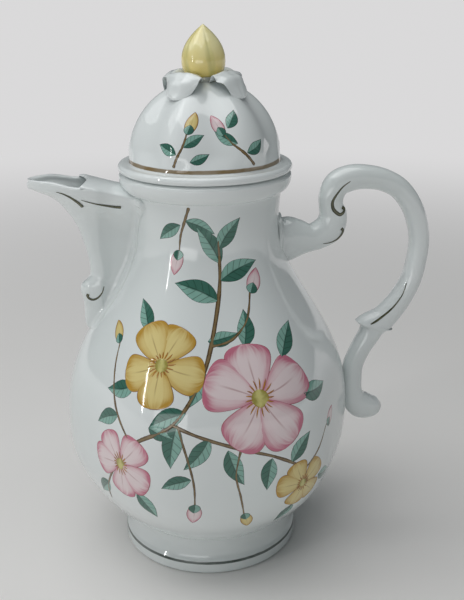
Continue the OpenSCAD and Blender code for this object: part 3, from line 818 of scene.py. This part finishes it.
# bud: a quarter arc under its widest line and r * (1 - t^2.1) over it, with soft folds between petals that
# wind round it, each one -depth * exp(-(sin / width)^2)
def buildBud():
    a = np.linspace(0, np.pi / 2, 14)
    radius, seat, swell = finial["budRadius"], finial["budSeat"], finial["swell"]
    under = np.stack([mix(seat, radius, np.sin(a)), budFoot + swell * (1 - np.cos(a))], axis=-1)
    t = np.linspace(0, 1, finial["budRows"])[1:-1] ** 0.8
    over = np.stack([radius * (1 - t ** 2.1), mix(budFoot + swell, budTop, t)], axis=-1)
    line = soften(np.concatenate([under, over]), 0.5, 0.25)
    rise = (line[:, 1:2] - budFoot) / (budTop - budFoot)
    a = fullTurn(160)
    phase = (budLook["folds"] * a + budLook["wind"] * rise) / 2
    fold = finial["foldDepth"] * np.exp(-(np.sin(phase) / 0.22) ** 2)
    rings = polar(line[:, :1] - fold * ramp(rise, 0, 0.25) * ramp(1 - rise, 0, 0.3), a, line[:, 1:2])
    points, faceSets = ringSkin(rings, [0, 0, budFoot], [0, 0, budTop])
    makePiece("budSurface", points, faceSets, budGlaze, "lid", ["finial_bud"])


# the bud's seat: a short drum with a waist, radius + 0.5 * (2t - 1)^2
def buildCalyx():
    t = np.linspace(0, 1, 12)
    r = finial["calyxRadius"] + 0.5 * (2 * t - 1) ** 2
    line = np.stack([r, mix(budFoot - finial["calyxHeight"], budFoot, t)], axis=-1)
    poles = line[0, 1], line[-1, 1]
    turnedPiece("calyxSurface", line, potGlaze, "lid", "finial_calyx", 0.0, poles, 96)


# leaf: a lens-shaped section carried along an arch that droops to the dome; its edges bow down and wave;
# stations: distance out, height, half width, bow of the edges
def buildLeaf(number):
    reach = finial["leafReach"]
    tipZ = lid["foot"] + domeHeight(reach, lid["domeHeight"], lid["domeRadius"])
    stations = np.array([
        [finial["calyxRadius"] + 0.8, budFoot - 0.95, 4.6, 0], [8.4, budFoot - 0.25, 6.9, 0.3],
        [11.4, budFoot + 1.85, 8.6, 1], [14.6, budFoot + 1.75, 9.4, 1.8],
        [reach - 3.4, budFoot - 0.8, 8.3, 2], [reach - 1.2, mix(tipZ, budFoot, 0.35), 5.3, 1.2],
        [reach, tipZ + 1.2, 1.1, 0]])
    t = np.linspace(0, len(stations) - 1, finial["leafRows"])
    row = smoothCurve(stations, t)
    way = unit(np.gradient(row[:, :2], axis=0))
    x, z, wide, bow = (row[:, k:k + 1] for k in range(4))
    t, a = t[:, None], fullTurn(finial["leafSides"])
    across, thick = np.cos(a), np.sin(a)
    lens = finial["leafThick"] * np.minimum(1, wide / 2.5) * np.clip(1.02 - across ** 2, 0.02, 1) ** 0.15
    rib = 0.35 * np.exp(-(across / 0.12) ** 2) * (thick > 0) * ramp(wide, 1, 4)
    edgeWave = 0.85 * np.sin(2.4 * t + 1.9 * number + 0.8 * across) * across ** 3 * ramp(wide, 3, 6)
    midWave = 0.3 * np.sin(4.3 * t + 2.6 * number) * (1 - across ** 2) * ramp(wide, 5, 8)
    n = bow * across ** 2 + rib - lens * thick - edgeWave - midWave
    x, y, z = x + n * way[:, 1:], wide * across, z - n * way[:, :1]
    turn = np.radians(90 * number - 45)
    rings = np.stack([x * np.cos(turn) - y * np.sin(turn), x * np.sin(turn) + y * np.cos(turn), z], axis=-1)
    points, faceSets = ringSkin(rings, rings[0].mean(axis=0), rings[-1].mean(axis=0))
    node = f"finial_leaf_{number}"
    makePiece(f"leafSurface{number}", points, faceSets, potGlaze, "lid", [node])


buildBud()
buildCalyx()
for number in range(1, 5):
    buildLeaf(number)
print("finial made")


# a painted surface: its (radius, height) line with lengths along it, lobe depths and outward normals
def paintHost(line, lobe):
    outward = unit(np.gradient(line, axis=0))[:, ::-1] * [1, -1]
    return {"line": line, "length": lengthAlong(line), "lobe": np.ravel(lobe), "normal": outward}


bodyHost = paintHost(outside, lobeDepth(outside[:, 1]))
domeHost = paintHost(domeOutside, lidLobe(domeOutside))


# points at angle a and length s along a host's line, lifted by h along its normal
def onHost(host, a, s, h):
    columns = (*host["line"].T, host["lobe"], *host["normal"].T)
    r, z, lobe, out, up = (np.interp(s, host["length"], column) for column in columns)
    return polar(r + lobe * np.cos(pot["lobes"] * a) + h * out, a, z + h * up)


# mean radius of a host at a height
def radiusAt(host, height):
    return np.interp(height, host["line"][:, 1], host["line"][:, 0])


# angle in degrees and height to angle in radians and length along the host's line
def placed(host, angle, height):
    return np.radians(angle), np.interp(height, host["line"][:, 1], host["length"])


# spines of strokes: each mark is angle, height, heading, length, full width, bend on the way, lift
def spinesOf(host, marks, rows):
    angle, height, heading, length, width, bend, lift = np.asarray(marks, float).T[..., None]
    v = np.linspace(0, 1, rows)
    way = np.radians(heading + bend * (v - 0.5))
    a, s = placed(host, angle, height)
    step = length / (rows - 1)
    x, y = (np.cumsum(f(way), axis=1) * step - f(way[:, :1]) * step for f in (np.cos, np.sin))
    return np.stack([a + x / radiusAt(host, height), s + y], axis=-1), width / 2, lift, length


# spines through given places, with knots where two waves along them meet: each path is a list of angle,
# height, width; 60 stands for their lengths, because they have no outline that would need them
def pathsOf(host, paths, rows, lift):
    found = np.stack([smoothCurve(path, np.linspace(0, len(path) - 1, rows)) for path in paths])
    a, s = placed(host, found[..., 0], found[..., 1])
    knots = 1.4 + 0.22 * np.sin(np.linspace(0, 31, rows)) * np.sin(np.linspace(0, 13, rows))
    each = np.ones((len(paths), 1))
    return np.stack([a, s], axis=-1), found[..., 2] * knots / 2, each * lift, each * 60


# half width along a stroke, as a share of its widest place, from v = 0 at its foot to 1 at its tip
outlines = {
    "petal": lambda v: v ** 0.55 * np.sqrt(1 - v ** 5) / 0.86,
    "leaf": lambda v: np.sin(np.pi * v ** 0.8) ** 1.05,
    "bud": lambda v: np.sin(np.pi * v ** 0.85) ** 0.7,
    "round": lambda v: np.sqrt(1 - (2 * v - 1) ** 2),
    "line": lambda v: np.minimum(1, 40 * v * (1 - v)) ** 0.5,
}


# millimetres that paint stands over the glaze, reaches under it and keeps from the host's line
paintLook = {"raise": 0.055, "sink": 0.2, "gap": 0.012}


# flat coordinates of a stroke's rings and its two ends: u from 0 to 1 across, v from 0 to 1 along
def paintMap(across, rows):
    u, v = np.broadcast_arrays((across + 1) / 2, np.linspace(0, 1, rows)[:, None])
    return np.concatenate([np.stack([u, v], axis=-1).reshape(-1, 2), [[0.5, 0], [0.5, 1]]])


# strokes become closed, slightly raised patches: half width * cos across, raise * sin over the surface
def paintPiece(name, host, strokes, outline, finish, body, sides=20):
    spines, half, lift, length = strokes
    count, rows = spines.shape[:2]
    v = np.linspace(0, 1, rows)
    half = (half * outlines[outline](np.clip(v, 0.004, 0.996)))[..., None]
    r = np.interp(spines[..., 1], host["length"], host["line"][:, 0])[..., None]
    a, s = spines[..., :1], spines[..., 1:]
    way = unit(np.gradient(spines, axis=1) * np.concatenate([r, np.ones_like(r)], axis=-1))
    turn = fullTurn(sides)
    across, over = np.cos(turn), np.sin(turn)
    h = np.where(over > 0, paintLook["raise"] * over + lift[..., None], paintLook["sink"] * over)
    a, s = a - half * across * way[..., 1:] / r, s + half * across * way[..., :1]
    rings = onHost(host, a, s, h - paintLook["gap"])
    ends = onHost(host, spines[:, [0, -1], 0], spines[:, [0, -1], 1], lift / 2)
    points = np.concatenate([rings.reshape(count, -1, 3), ends], axis=1)
    grid = np.arange(rows * sides).reshape(rows, sides)
    first, last = grid[0], grid[-1]
    fans = [np.stack([np.roll(first, -1), first, 0 * first + rows * sides], axis=-1),
            np.stack([last, np.roll(last, -1), 0 * last + rows * sides + 1], axis=-1)]
    shift = points.shape[1] * np.arange(count)[:, None, None]
    grids = quadsBetween(grid), np.concatenate(fans)
    faceSets = [(faces + shift).reshape(-1, faces.shape[1]) for faces in grids]
    edge = np.minimum(half * (1 - np.abs(across)), (length * np.minimum(v, 1 - v))[..., None])
    edge = np.concatenate([edge.reshape(count, -1), np.zeros((count, 2))], axis=1)
    uv = np.tile(paintMap(across, rows), (count, 1))
    return makePiece(name, points.reshape(-1, 3), faceSets, finish, body, uv=uv, edge=edge.ravel())


# the flat coordinates of a stroke, u across, v along, and the distance from its middle line, 0 to 1
def strokeMap(finish):
    flat = finish.node("ShaderNodeUVMap", {"uv_map": "paintMap"})
    u, v, _ = finish.parts(flat)
    return flat, u, v, abs(u - 0.5) * 2


# 1 in a thin line round a stroke, between two distances in millimetres from its edge
def brushedEdge(finish, waver, low, high):
    edge = finish.node("ShaderNodeAttribute", {"attribute_name": "edgeDistance"}, output="Fac")
    return 1 - finish.step(edge + waver, low, high)


# petal: a pale middle, deeper towards sides and tip in streaks along it, and a thin brushed outline
def petalFinish(name, pale, deep, line, inner=0.25):
    finish = Finish(name)
    spot, _, rough, bump = glazeParts(finish)
    flat, _, v, side = strokeMap(finish)
    streak = finish.noise(flat, 1, 3, stretch=(11, 1.4, 1)) - 0.5
    cloud = finish.noise(spot, 120, 2) - 0.5
    sides = finish.step(side + streak * 0.7, inner, 1.15) * 0.75
    tip, foot = finish.step(v + streak * 0.5, 0.62, 1.05) * 0.7, finish.step(0.3 - v, 0, 0.3) * 0.4
    colour = finish.blendColour(finish.step(sides + tip + foot + cloud * 0.3, 0, 1), pale, deep)
    vein = (1 - finish.step(side, 0.015, 0.06)) * finish.step(0.8 - v, 0, 0.4) * 0.45
    colour = finish.blendColour(vein, colour, line)
    colour = finish.blendColour(brushedEdge(finish, cloud * 0.25, 0.16, 0.42) * 0.9, colour, line)
    return glossy(finish, colour, rough, bump)


# leaf: one half deep and one half light, side veins as thin slanted waves, a midrib and a dark outline
def leafFinish(name, light, deep, line):
    finish = Finish(name)
    spot, _, rough, bump = glazeParts(finish)
    _, u, v, side = strokeMap(finish)
    cloud = finish.noise(spot, 150, 3) - 0.5
    half = finish.step(u + cloud * 0.12, 0.42, 0.6)
    tint = half * 0.85 + finish.step(v, 0.2, 1.0) * 0.25 + cloud * 0.9
    colour = finish.blendColour(finish.step(tint, 0.1, 1.0), deep, light)
    wave = finish.node("ShaderNodeMath", {"operation": "SINE"}, {0: (v - side * 0.16) * 40})
    vein = finish.step(wave, 0.8, 1.0) * finish.step(side, 0.03, 0.15) * 0.55
    vein = vein + (1 - finish.step(side, 0.03, 0.1)) * 0.7
    colour = finish.blendColour(vein, colour, line)
    colour = finish.blendColour(brushedEdge(finish, cloud * 0.2, 0.14, 0.38) * 0.92, colour, line)
    return glossy(finish, colour, rough, bump)


# brushed line: two tones that change along it with small blots
def strokeFinish(name, light, dark, balance=0.5):
    finish = Finish(name)
    spot, _, rough, bump = glazeParts(finish)
    side = strokeMap(finish)[-1]
    shade = finish.step(side * 0.6 + finish.noise(spot, 330, 3), balance, balance + 0.5)
    return glossy(finish, finish.blendColour(shade, light, dark), rough, bump)


paints = {
    "rose": petalFinish("rosePaint", (0.80, 0.68, 0.69), (0.56, 0.17, 0.25), (0.30, 0.07, 0.08)),
    "yellow": petalFinish("yellowPaint", (0.74, 0.62, 0.27), (0.50, 0.29, 0.045), (0.24, 0.10, 0.025), 0.1),
    "leaf": leafFinish("leafPaint", (0.25, 0.46, 0.39), (0.045, 0.15, 0.11), (0.015, 0.045, 0.032)),
    "twig": strokeFinish("twigPaint", (0.24, 0.17, 0.08), (0.085, 0.05, 0.022)),
    "heart": strokeFinish("heartPaint", (0.62, 0.58, 0.22), (0.34, 0.30, 0.07)),
    "stamen": strokeFinish("stamenPaint", (0.50, 0.24, 0.03), (0.22, 0.08, 0.02)),
    "green": strokeFinish("greenPaint", (0.15, 0.145, 0.075), (0.045, 0.05, 0.026), 0.4),
}

# blossoms: angle, height, radius, turn
blossoms = {
    "rose": [[-77, 99, 25, 20], [-134, 67, 17, 50], [96, 84, 20, 10]],
    "yellow": [[-119, 113, 19, -15], [-60, 55, 13.5, 35], [58, 62, 12, 0]],
}
# sizes as shares of a blossom's radius; turns and bends in degrees, the width of a stamen in millimetres
blossomLook = {
    "petalStart": 0.07, "petalLength": 0.95, "petalWidth": 1.04, "petalSizes": [1, 0.93, 1.02, 0.95, 0.98],
    "petalTurns": [0, 5, -4, 3, -5], "petalBends": [14, -12, 10, -14, 12], "heart": 0.32,
    "stamens": 17, "stamenStart": 0.13, "stamenLength": 0.17, "stamenWidth": 0.75}


# marks that start a step away from a place, each in its own heading
def marksRound(host, angle, height, heading, step, *rest):
    x, y = step * np.cos(np.radians(heading)), step * np.sin(np.radians(heading))
    columns = angle + np.degrees(x / radiusAt(host, height)), height + y, heading, *rest
    return np.stack(np.broadcast_arrays(*columns), axis=-1)


# five broad petals round each centre, each one lying a little higher than the one before
def petalMarks(host, places):
    look, marks = blossomLook, []
    for angle, height, radius, turn in places:
        heading = turn + 72.0 * np.arange(5) + look["petalTurns"]
        size, lift = radius * np.array(look["petalSizes"]), 0.03 + 0.014 * np.arange(5)
        rest = size * look["petalLength"], size * look["petalWidth"], look["petalBends"], lift
        marks.append(marksRound(host, angle, height, heading, look["petalStart"] * radius, *rest))
    return np.concatenate(marks)


# stamens: short spokes of uneven length that spread from each centre
def stamenMarks(host, places):
    look, spoke, marks = blossomLook, np.arange(blossomLook["stamens"]), []
    for angle, height, radius, turn in places:
        heading = turn + 360 / look["stamens"] * spoke
        length = radius * (look["stamenLength"] + 0.05 * np.sin(7.0 * spoke))
        rest = length, look["stamenWidth"], 20, 0.12
        marks.append(marksRound(host, angle, height, heading, look["stamenStart"] * radius, *rest))
    return np.concatenate(marks)


# petals first, then the round hearts and the stamens over them
def paintBlossoms():
    for kind, places in blossoms.items():
        strokes = spinesOf(bodyHost, petalMarks(bodyHost, places), 30)
        paintPiece(kind + "Petals", bodyHost, strokes, "petal", paints[kind], "pot", sides=26)
    places = blossoms["rose"] + blossoms["yellow"]
    sizes = [blossomLook["heart"] * place[2] for place in places]
    hearts = [[a, z - size / 2, 90, size, size, 0, 0.1] for (a, z, _, _), size in zip(places, sizes)]
    paintPiece("blossomHearts", bodyHost, spinesOf(bodyHost, hearts, 20), "round", paints["heart"], "pot")
    strokes = spinesOf(bodyHost, stamenMarks(bodyHost, places), 10)
    paintPiece("stamens", bodyHost, strokes, "bud", paints["stamen"], "pot", sides=8)


# leaves and buds: angle, height, heading, length, width, bend, lift
sprays = {
    "leaf": [
        [-91, 137, 158, 22, 9.8, 30, 0], [-89, 145, 22, 20, 9, -25, 0], [-88, 152, 122, 20, 8.4, 25, 0],
        [-89, 158, 55, 17, 7.6, -20, 0], [-98, 122, 12, 14, 7, 20, 0], [-101, 112, 255, 17, 8.4, -25, 0],
        [-107, 95, 205, 17, 8.6, 25, 0], [-110, 90, 262, 20, 9, 20, 0], [-98, 84, 232, 18, 8.2, -25, 0],
        [-91, 78, 292, 19, 8.6, 22, 0], [-74, 72, 262, 16, 7.6, 18, 0], [-66, 68, 48, 16, 7.6, -20, 0],
        [-58, 97, 356, 19, 9, 25, 0], [-63, 113, 48, 19, 9, -20, 0], [-80, 119, 80, 17, 8, 25, 0],
        [-130, 103, 200, 17, 8.2, -20, 0], [-129, 124, 128, 17, 8, 20, 0], [-121, 88, 340, 12, 6, 20, 0],
        [-136, 89, 208, 16, 7.6, 25, 0], [-143, 53, 225, 15, 7.4, 20, 0], [-127, 55, 300, 16, 7.8, -20, 0],
        [-50, 54, 345, 15, 7, 20, 0], [-62, 43, 248, 14, 6.8, -20, 0], [-105, 65, 200, 14, 6.8, 25, 0],
        [-117, 169, 215, 13, 6, 20, 0], [-113, 171, 335, 14, 6.2, -20, 0],
        [70, 92, 20, 17, 8, 25, 0], [118, 104, 130, 17, 8, -20, 0], [122, 74, 215, 17, 8, 20, 0],
        [84, 60, 270, 16, 7.6, 20, 0], [66, 74, 150, 12, 6, 15, 0], [45, 70, 40, 13, 6.4, -20, 0],
        [48, 50, 300, 13, 6.4, 20, 0], [100, 122, 70, 15, 7, 20, 0]],
    "rose": [
        [-70, 139, 62, 12, 6.6, 10, 0.02], [-104, 52, 262, 13, 6.8, -10, 0.02],
        [-118, 158, 262, 11, 5.8, 8, 0.02],
        [-44, 76, 40, 10.5, 5.8, 8, 0.02], [104, 128, 100, 11, 6, 8, 0.02]],
    "yellow": [
        [-147, 116, 130, 12, 5.8, 12, 0.02], [-84, 44, 285, 12, 5.8, -12, 0.02],
        [38, 76, 60, 10, 5, 10, 0.02]],
}
# twigs: angle, height, width
twigs = [
    [[-147, 41, 0.6], [-143, 54, 1.0], [-128, 78, 1.2], [-112, 90, 1.3], [-101, 108, 1.4], [-94, 128, 1.4],
     [-89, 146, 1.3], [-89, 162, 0.9]],
    [[-112, 90, 1.1], [-100, 84, 1.2], [-86, 78, 1.1], [-72, 72, 1.1], [-60, 62, 0.9], [-55, 48, 0.6]],
    [[-97, 120, 0.9], [-86, 122, 1.0], [-76, 129, 0.8], [-70, 140, 0.6]],
    [[-86, 78, 0.8], [-88, 66, 0.8], [-86, 54, 0.7], [-84, 43, 0.5]],
    [[-110, 90, 0.8], [-106, 74, 0.8], [-104, 62, 0.7], [-104, 51, 0.5]],
    [[-60, 62, 0.7], [-52, 68, 0.8], [-46, 76, 0.5], [-44, 77, 0.5]],
    [[-128, 78, 0.8], [-138, 92, 0.9], [-144, 106, 0.7], [-147, 117, 0.5]],
    [[-110, 177, 1.0], [-114, 170, 0.9], [-117, 164, 0.7], [-118, 157, 0.5]],
    [[78, 46, 0.6], [84, 62, 1.1], [96, 84, 1.2], [100, 106, 1.1], [104, 128, 0.6]],
    [[84, 62, 0.8], [70, 62, 0.9], [56, 62, 0.8], [44, 70, 0.7], [38, 77, 0.5]],
]
lidSprays = {
    "leaf": [[-119, 199, 160, 10, 5, 20, 0], [-114, 202, 30, 10, 5, -20, 0], [-109, 196, 20, 9, 4.4, 20, 0],
             [-66, 199, 25, 11, 5.4, 20, 0], [-72, 203, 150, 11, 5.4, -20, 0], [-78, 209, 60, 10, 4.8, 20, 0],
             [60, 199, 30, 10, 5, 20, 0], [72, 202, 150, 10, 5, -20, 0]],
    "yellow": [[-112, 207, 75, 10.5, 5.2, 10, 0.02], [68, 206, 100, 10, 5, 10, 0.02]],
    "rose": [[-82, 206, 118, 10.5, 5.4, 10, 0.02]],
}
lidTwigs = [
    [[-121, 193.5, 0.9], [-118, 198, 0.8], [-114, 203, 0.7], [-112, 208, 0.5]],
    [[-60, 193.5, 0.9], [-68, 199, 0.9], [-76, 203, 0.7], [-82, 207, 0.5]],
    [[62, 193.5, 0.9], [66, 198, 0.8], [68, 203, 0.6], [68, 207, 0.5]],
]


# leaves and buds, the green cups that hold the buds, and the twigs
def paintSprays(host, groups, twigPaths, body, prefix):
    for kind, marks in groups.items():
        outline, name = "leaf" if kind == "leaf" else "bud", prefix + kind.capitalize() + "Spray"
        paintPiece(name, host, spinesOf(host, marks, 30), outline, paints[kind], body)
    buds = np.concatenate([np.asarray(marks, float) for kind, marks in groups.items() if kind != "leaf"])
    cups = buds * [1, 1, 1, 0.42, 0.8, 1, 1] + [0, 0, 0, 0, 0, 0, 0.03]
    paintPiece(prefix + "Cups", host, spinesOf(host, cups, 16), "bud", paints["leaf"], body)
    paths = pathsOf(host, twigPaths, 90, 0.01)
    paintPiece(prefix + "Twigs", host, paths, "line", paints["twig"], body, sides=10)


paintBlossoms()
paintSprays(bodyHost, sprays, twigs, "pot", "pot")
paintSprays(domeHost, lidSprays, lidTwigs, "lid", "lid")
print("decoration made")


# (x, z, half width) stations of brushed lines on the side towards -Y; each one is also laid on the other side
handleLines = [
    [[66.9, 179.3, 0.2], [63.6, 177, 0.35], [60.8, 173.6, 0.5], [58.8, 170, 0.7], [59.1, 166.7, 0.85],
     [60.8, 164.6, 0.9], [62.6, 163.6, 0.8], [64.3, 164.4, 0.7], [64.9, 165.9, 0.6], [63.6, 166.8, 0.9]],
    [[54.8, 149.9, 0.15], [58.4, 150.1, 0.3], [61.8, 151.4, 0.45], [64, 153.7, 0.6], [64.5, 155.6, 0.7],
     [63.4, 156.8, 0.8]],
    [[97.4, 127.4, 0.12], [95.7, 122.2, 0.22], [92.8, 117.6, 0.32], [89.6, 114.1, 0.42], [86, 111.1, 0.5],
     [82.6, 108.8, 0.55], [79.9, 107.5, 0.3]],
]
spoutLines = [
    [[66.9, 181.2, 0.12], [64.1, 180.5, 0.3], [60.9, 178.8, 0.45], [57.8, 176.2, 0.6], [55.8, 173.8, 0.6]],
    [[56.4, 177.6, 0.12], [51.6, 176, 0.25], [46.6, 174.5, 0.42], [42, 173.5, 0.6], [39.2, 173.3, 0.7]],
    [[48.4, 135.4, 0.15], [49.3, 132.7, 0.3], [51.2, 130.2, 0.45], [53.4, 129, 0.55], [55.2, 129.3, 0.6],
     [56.1, 130.6, 0.6], [55.7, 131.7, 0.7]],
]
# rows along a line and points round it, the width that is averaged, and the paint's height and depth
lineLook = {"rows": 70, "sides": 10, "near": 0.55, "raise": 0.09, "sink": 0.35, "gap": 0.02}


# a raised ribbon on the host's side: its depth y is the mean of the host's points near (x, z), weighted by
# exp(-distance^2 / 2 near^2 - 2 y), so that the outermost points count most; points within 0.4 of the
# middle plane or more than 3 outside the line's box are left out
def lineOnSide(hostPoints, stations):
    row = smoothCurve(stations, np.linspace(0, len(stations) - 1, lineLook["rows"]))
    row[:, 2] *= outlines["line"](np.linspace(0.003, 0.997, lineLook["rows"]))
    way, turn = unit(np.gradient(row[:, :2], axis=0)), fullTurn(lineLook["sides"])
    across, over = row[:, 2:3] * np.cos(turn), np.sin(turn)
    x, z = row[:, :1] - across * way[:, 1:], row[:, 1:2] + across * way[:, :1]
    side = hostPoints[hostPoints[:, 1] < -0.4]
    low, high = row[:, :2].min(axis=0) - 3, row[:, :2].max(axis=0) + 3
    side = side[((side[:, [0, 2]] > low) & (side[:, [0, 2]] < high)).all(axis=1)]
    away = (x.ravel()[:, None] - side[:, 0]) ** 2 + (z.ravel()[:, None] - side[:, 2]) ** 2
    weight = np.exp(-away / (2 * lineLook["near"] ** 2) - 2 * (side[:, 1] + 5)) + 1e-12
    y = ((weight * side[:, 1]).sum(axis=1) / weight.sum(axis=1)).reshape(x.shape)
    gap = np.where(over > 0, lineLook["gap"], -lineLook["gap"])
    lift = np.where(over > 0, lineLook["raise"], lineLook["sink"]) * over + gap
    return np.stack([x, y - lift, z], axis=-1)


# each line on one side and its mirror image on the other; facing is -1 where x points away from the pot
def paintLines(name, hostPoints, lines, facing=1):
    uv, number = paintMap(np.cos(fullTurn(lineLook["sides"])), lineLook["rows"]), 0
    for line in lines:
        rings = lineOnSide(hostPoints, np.array(line) * [facing, 1, 1])
        for side in (1, -1):
            number += 1
            points, faceSets = ringSkin(rings * [1, side, 1], *(rings[[0, -1]].mean(axis=1) * [1, side, 1]))
            makePiece(f"{name}{number}", points, faceSets, paints["green"], "pot", uv=uv)


paintLines("handleLine", handleRings.reshape(-1, 3), handleLines)
paintLines("spoutLine", spoutRings[:, :spoutRings.shape[1] // 2].reshape(-1, 3), spoutLines, -1)
print("painted lines made")


# the camera stands at a distance from the axis in metres, at an angle round it, and looks down
cameraView = {
    "distance": 0.4115, "height": 0.270, "side": -98.0, "down": 19.607, "turn": 1.643, "roll": -0.355,
    "lens": 55.0}


# the view direction comes from its angles down and to the right, and the frame is rolled about it
def placeCamera():
    side, down, turn, roll = (np.radians(cameraView[k]) for k in ("side", "down", "turn", "roll"))
    away = -np.array([np.cos(side), np.sin(side), 0])
    right = np.array([away[1], -away[0], 0])
    vertical = np.array([0, 0, 1.0])
    forward = np.cos(down) * (np.sin(turn) * right + np.cos(turn) * away) - np.sin(down) * vertical
    level = np.cross(forward, vertical) / np.cos(down)
    up = np.cross(level, forward)
    across = np.cos(roll) * level + np.sin(roll) * up
    upright = np.cos(roll) * up - np.sin(roll) * level
    camera = bpy.data.objects.new("camera", bpy.data.cameras.new("camera"))
    camera.data.lens = cameraView["lens"]
    camera.data.clip_start = 0.01
    spot = Vector(-cameraView["distance"] * away + cameraView["height"] * vertical)
    facing = Matrix((across, upright, -forward)).transposed().to_4x4()
    camera.matrix_world = Matrix.Translation(spot) @ facing
    bpy.context.scene.collection.objects.link(camera)
    bpy.context.scene.camera = camera


placeCamera()

# each lamp: degrees round from the camera's side, below 0 to its left, and degrees up; distance and size in
# metres; watts; degrees of tilt
lampSet = {
    "windowLamp": {"round": -98, "up": 50, "distance": 1.25, "size": (0.75, 0.85), "power": 2.3, "tilt": 0},
    "gapLamp": {"round": -60, "up": 14, "distance": 1.1, "size": (0.022, 0.42), "power": 1.1, "tilt": 12},
    "ceilingLamp": {"round": -50, "up": 80, "distance": 1.3, "size": (1.3, 1.3), "power": 10.3, "tilt": 0},
    "frontLamp": {"round": -22, "up": 3, "distance": 1.3, "size": (0.9, 0.28), "power": 1.7, "tilt": 0},
}


lampAim = 0.11      # height of the place on the axis that the lamps face, in metres


def placeLamps():
    aim = Vector((0, 0, lampAim))
    for name, lamp in lampSet.items():
        a, up = np.radians(cameraView["side"] + lamp["round"]), np.radians(lamp["up"])
        away = Vector((np.cos(a) * np.cos(up), np.sin(a) * np.cos(up), np.sin(up)))
        data = bpy.data.lights.new(name, "AREA")
        data.shape = "RECTANGLE"
        data.size, data.size_y = lamp["size"]
        data.energy = lamp["power"]
        made = bpy.data.objects.new(name, data)
        facing = away.to_track_quat("Z", "Y").to_matrix().to_4x4()
        tilt = Matrix.Rotation(np.radians(lamp["tilt"]), 4, "Z")
        made.matrix_world = Matrix.Translation(aim + away * lamp["distance"]) @ facing @ tilt
        bpy.context.scene.collection.objects.link(made)


placeLamps()

# colours of the paper and the floor, which ends in a fade; air is the even light from all round
roomLook = {
    "paper": (0.70, 0.695, 0.70), "floor": (0.86, 0.845, 0.825), "floorGrain": (0.89, 0.88, 0.865),
    "fade": (0.25, 1.1), "air": (0.84, 0.94, 1.0), "airStrength": 0.10}


# world: paper colour where it is seen, a dimmer even light elsewhere
def makeRoom():
    world = bpy.data.worlds.new("roomAir")
    bpy.context.scene.world = world
    air = Finish("roomAir", world)
    path = air.node("ShaderNodeLightPath").socket.node
    seen = Amount(air, path.outputs["Is Camera Ray"])
    shown = air.node("ShaderNodeBackground", inputs={0: (*roomLook["paper"], 1), 1: 1.0})
    lit = air.node("ShaderNodeBackground", inputs={0: (*roomLook["air"], 1), 1: roomLook["airStrength"]})
    air.giveOut(air.node("ShaderNodeMixShader", inputs={0: seen, 1: lit, 2: shown}), "ShaderNodeOutputWorld")


# floor: a disc just under the foot; near the pot it takes light and shadow, further out it fades to the
# paper colour
def makeFloor():
    level = -0.00005
    rings = polar(np.array([0.05, 0.2, 0.5, 1.0, 3.0, 12.0])[:, None], fullTurn(96), level)
    points, faceSets = ringSkin(rings, [0, 0, level])
    mesh = bpy.data.meshes.new("floorPaper")
    mesh.from_pydata(points.tolist(), [], [list(map(int, f)) for faces in faceSets for f in faces])
    finish = Finish("floorPaper")
    spot = finish.place()
    distance = finish.node("ShaderNodeVectorMath", {"operation": "LENGTH"}, {0: spot}, "Value")
    colour = finish.blendColour(finish.noise(spot, 3, 3) * 0.3, roomLook["floor"], roomLook["floorGrain"])
    shader = finish.node("ShaderNodeBsdfPrincipled", inputs={"Base Color": colour, "Roughness": 0.8})
    glow = finish.node("ShaderNodeEmission", inputs={0: (*roomLook["paper"], 1), 1: 1.0})
    fade = finish.step(distance, *roomLook["fade"])
    finish.giveOut(finish.node("ShaderNodeMixShader", inputs={0: fade, 1: shader, 2: glow}))
    mesh.materials.append(finish.made)
    floor = bpy.data.objects.new("floorPaper", mesh)
    bpy.context.scene.collection.objects.link(floor)


makeRoom()
makeFloor()
bpy.context.scene.view_settings.view_transform = "Standard"
print("room made")
